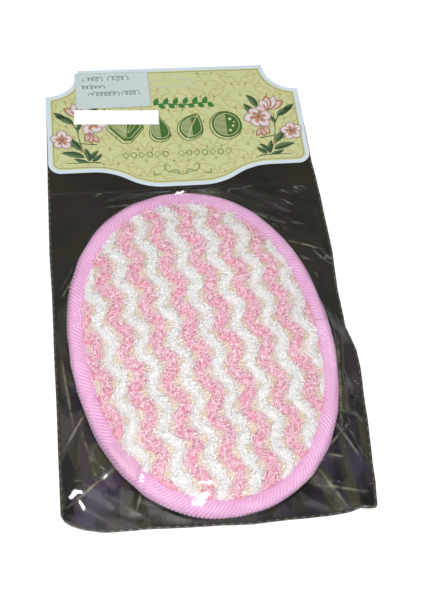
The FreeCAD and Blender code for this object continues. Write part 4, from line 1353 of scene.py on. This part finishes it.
def card_print():
    """Printed field of the card's front with its border line, ornaments and flowers."""
    outer = card_outline()
    background = Print()
    background.area("field", 0, inset_outline(outer, BORDER), slot_outline(-0.05)[::-1])
    # painted highlight: a faint lighter line round the hang slot's cut edge
    background.stroke(slot_outline(-0.3), 0.2, "emboss_highlight", 2, closed=True)
    background.piece("print_field")
    scrolls = Print()
    damask(scrolls, inset_outline(outer, DOT_INSET + 1.0))
    scrolls.piece("print_scrolls")
    dots = Print()
    line = inset_outline(outer, DOT_INSET)
    x, y = np.vstack([line, line[:1]]).T
    distance = distances(x, y)
    for at in np.arange(0, distance[-1], DOT_PITCH):
        dots.dot(np.interp(at, distance, x), np.interp(at, distance, y), 0.42, "dots", 2, 6)
    dots.piece("print_dotted_line")
    spray(1).piece("print_flowers_right")
    spray(-1).piece("print_flowers_left")
    centre = Print(ORNAMENT_LAYER)
    motifs(centre)
    small_ornaments(centre)
    centre.piece("print_motifs")
    plug = Print()
    plug.area("field", 0, slot_outline(SLOT_GAP + 0.12))
    # painted highlight: a faint lighter line round the plug's cut edge
    plug.stroke(slot_outline(SLOT_GAP + 0.3), 0.2, "emboss_highlight", 1, closed=True)
    plug.piece("print_plug", "hang_plug")


def label(name, node, material, slot, turn, corner, curl):
    """Paper label with round corners that lift a little from the card."""
    low, high = box_mm(node)
    middle = (low + high) / 2
    half_x, half_y = np.array(LABEL_SIZES[node]) / 2
    across, along = np.meshgrid(np.linspace(-1, 1, 60), np.linspace(-1, 1, 40))
    x, y = across * half_x, along * half_y
    over_x, over_y = np.abs(x) - (half_x - corner), np.abs(y) - (half_y - corner)
    rounded = (over_x > 0) & (over_y > 0)
    share = np.maximum(over_x, over_y) / (np.hypot(over_x, over_y) + 1e-9)
    x = np.where(rounded, np.sign(x) * (half_x - corner + over_x * share), x)
    y = np.where(rounded, np.sign(y) * (half_y - corner + over_y * share), y)
    lift = curl * (np.abs(across) ** 6 * (0.5 + 0.5 * along) + 0.6 * np.abs(along) ** 8)
    z = CARD_FACE + LABEL_LIFT + lift + np.abs(0.05 * noise2(x + 200, y + 200, 11, 82))
    x, y = turned(x, y, math.radians(turn))
    points = [stacked(x + middle[0], y + middle[1], height).reshape(-1, 3)
              for height in (z + LABEL_THICKNESS, z)]
    piece = quad_object(name, np.vstack(points), slab_quads(*x.shape)[:, ::-1], material)
    assign(piece, slot, node, body="header")


def pen_waves():
    """Plain looped pen lines on the price label, where a shop writes on it."""
    prints = Print()
    layer = (LABEL_LIFT + 0.17) / PRINT_STEP
    for x, y, length, height, swings in (
            (-57.5, 289.4, 11, 1.7, 4), (-41.5, 289.6, 12, 1.6, 4), (-61, 282.6, 16, 1.6, 6),
            (-55, 276.8, 19, 1.5, 7), (-33, 277.0, 10, 1.6, 4)):
        turn = np.linspace(0, 2 * np.pi * swings, 24 * swings)
        wander = 0.5 * noise2(turn + x + 100, y, 5, 83)
        line = stacked(x + length * turn / turn[-1] - 1.1 * np.sin(turn) * (1 + wander),
                       y - height * np.cos(turn) * (0.8 + wander))
        prints.stroke(line, 0.42, "pen", layer)
    prints.piece("label_pen_waves", slot="label_paper")


# ---------------------------------------------------------------- all the pieces

ground_cloth()
for colour_name, rows, width, radius, yarn, spacing, seed in YARN_ROWS:
    for number in range(rows):
        yarn_row(colour_name, number, rows, width, radius, yarn, spacing, seed + number)
binding()
binding_lap()
foam_core()
back_cloth()
stitches("upper_stitches", "binding_upper_thread", 1)
stitches("lower_stitches", "binding_lower_thread", -1)
for side, sign in (("left", -1.0), ("right", 1.0)):
    strap_half(side, sign)
    bar_tacks(side, sign)
bag_film("front_film", 380, 222, front_height, "clear_film")
bag_film("rear_film", 440, 260, rear_height, "dark_film")
left_y, right_y = np.linspace(6.5, BAG_MOUTH, 400), np.linspace(-3.5, BAG_MOUTH, 400)
bottom_x = np.linspace(-82.2, 80, 300)
seal("left", bag_left(left_y), left_y, 1, 0)
seal("right", bag_right(right_y), right_y, -1, 0)
seal("bottom", bottom_x, bag_bottom(bottom_x), 0, 1)
card_print()
label("price_sticker", "price_label", "sticker", "label_paper", 0.0, 2.0, 0.35)
label("blank_strip", "strip_label", "strip", "strip_paper", -3.0, 0.4, 0.15)
pen_waves()
for node, material in (("header_card", "card"), ("hang_plug_front", "card"), ("hang_plug_rear", "card"),
                       ("adhesive_front", "adhesive"), ("adhesive_rear", "adhesive")):
    slots = frame["nodes"][node].data.materials
    slots.clear()
    slots.append(MATERIALS[material])


# ---------------------------------------------------------------- camera, light and floor

def camera():
    """Looks steeply down at the pack from its foot, a little from the left."""
    data = bpy.data.cameras.new("view")
    data.lens, data.sensor_width = 51.0, 36.0
    forward = Vector((0.12151, 0.44239, -0.88855)).normalized()
    right = forward.cross(Vector((0.06630, 0.88957, 0.45196))).normalized()
    place = Matrix((right, right.cross(forward), -forward)).transposed().to_4x4()
    place.translation = Vector(VIEW_PLACE)
    item = linked("view", data)
    item.matrix_world = place
    bpy.context.scene.camera = item


def floor():
    side = 3000.0
    corners = [(x * side, y * side, -STAGE_DROP) for x, y in ((-1, -1), (1, -1), (1, 1), (-1, 1))]
    quad_object("floor", corners, np.array([[0, 1, 2, 3]]), "floor")


def world():
    scene_world = bpy.data.worlds.new("studio")
    scene_world.use_nodes = True
    background = scene_world.node_tree.nodes["Background"]
    background.inputs["Color"].default_value = (0.97, 0.985, 1.0, 1.0)
    background.inputs["Strength"].default_value = 0.42
    bpy.context.scene.world = scene_world
    bpy.context.scene.view_settings.view_transform = "Standard"


camera()
for name, position, width, height, power in (
        ("soft_above", (-0.3, -0.7, 1.9), 1.6, 1.6, 22.0),
        ("soft_left", (-0.62, 0.42, 0.95), 0.1, 0.6, 1.0),
        ("soft_right", (0.86, 0.40, 0.80), 0.1, 0.6, 1.0),
        ("soft_back", (0.17, 1.15, 0.45), 0.6, 0.1, 0.8),
        ("camera_lamp", LAMP_PLACE, 0.03, 0.03, 1.0)):
    light = bpy.data.lights.new(name, "AREA")
    light.shape, light.energy, light.size, light.size_y = "RECTANGLE", power, width, height
    item = linked(name, light)
    item.location = position
    item.rotation_euler = (-Vector(position)).to_track_quat("-Z", "Y").to_euler()
floor()
world()
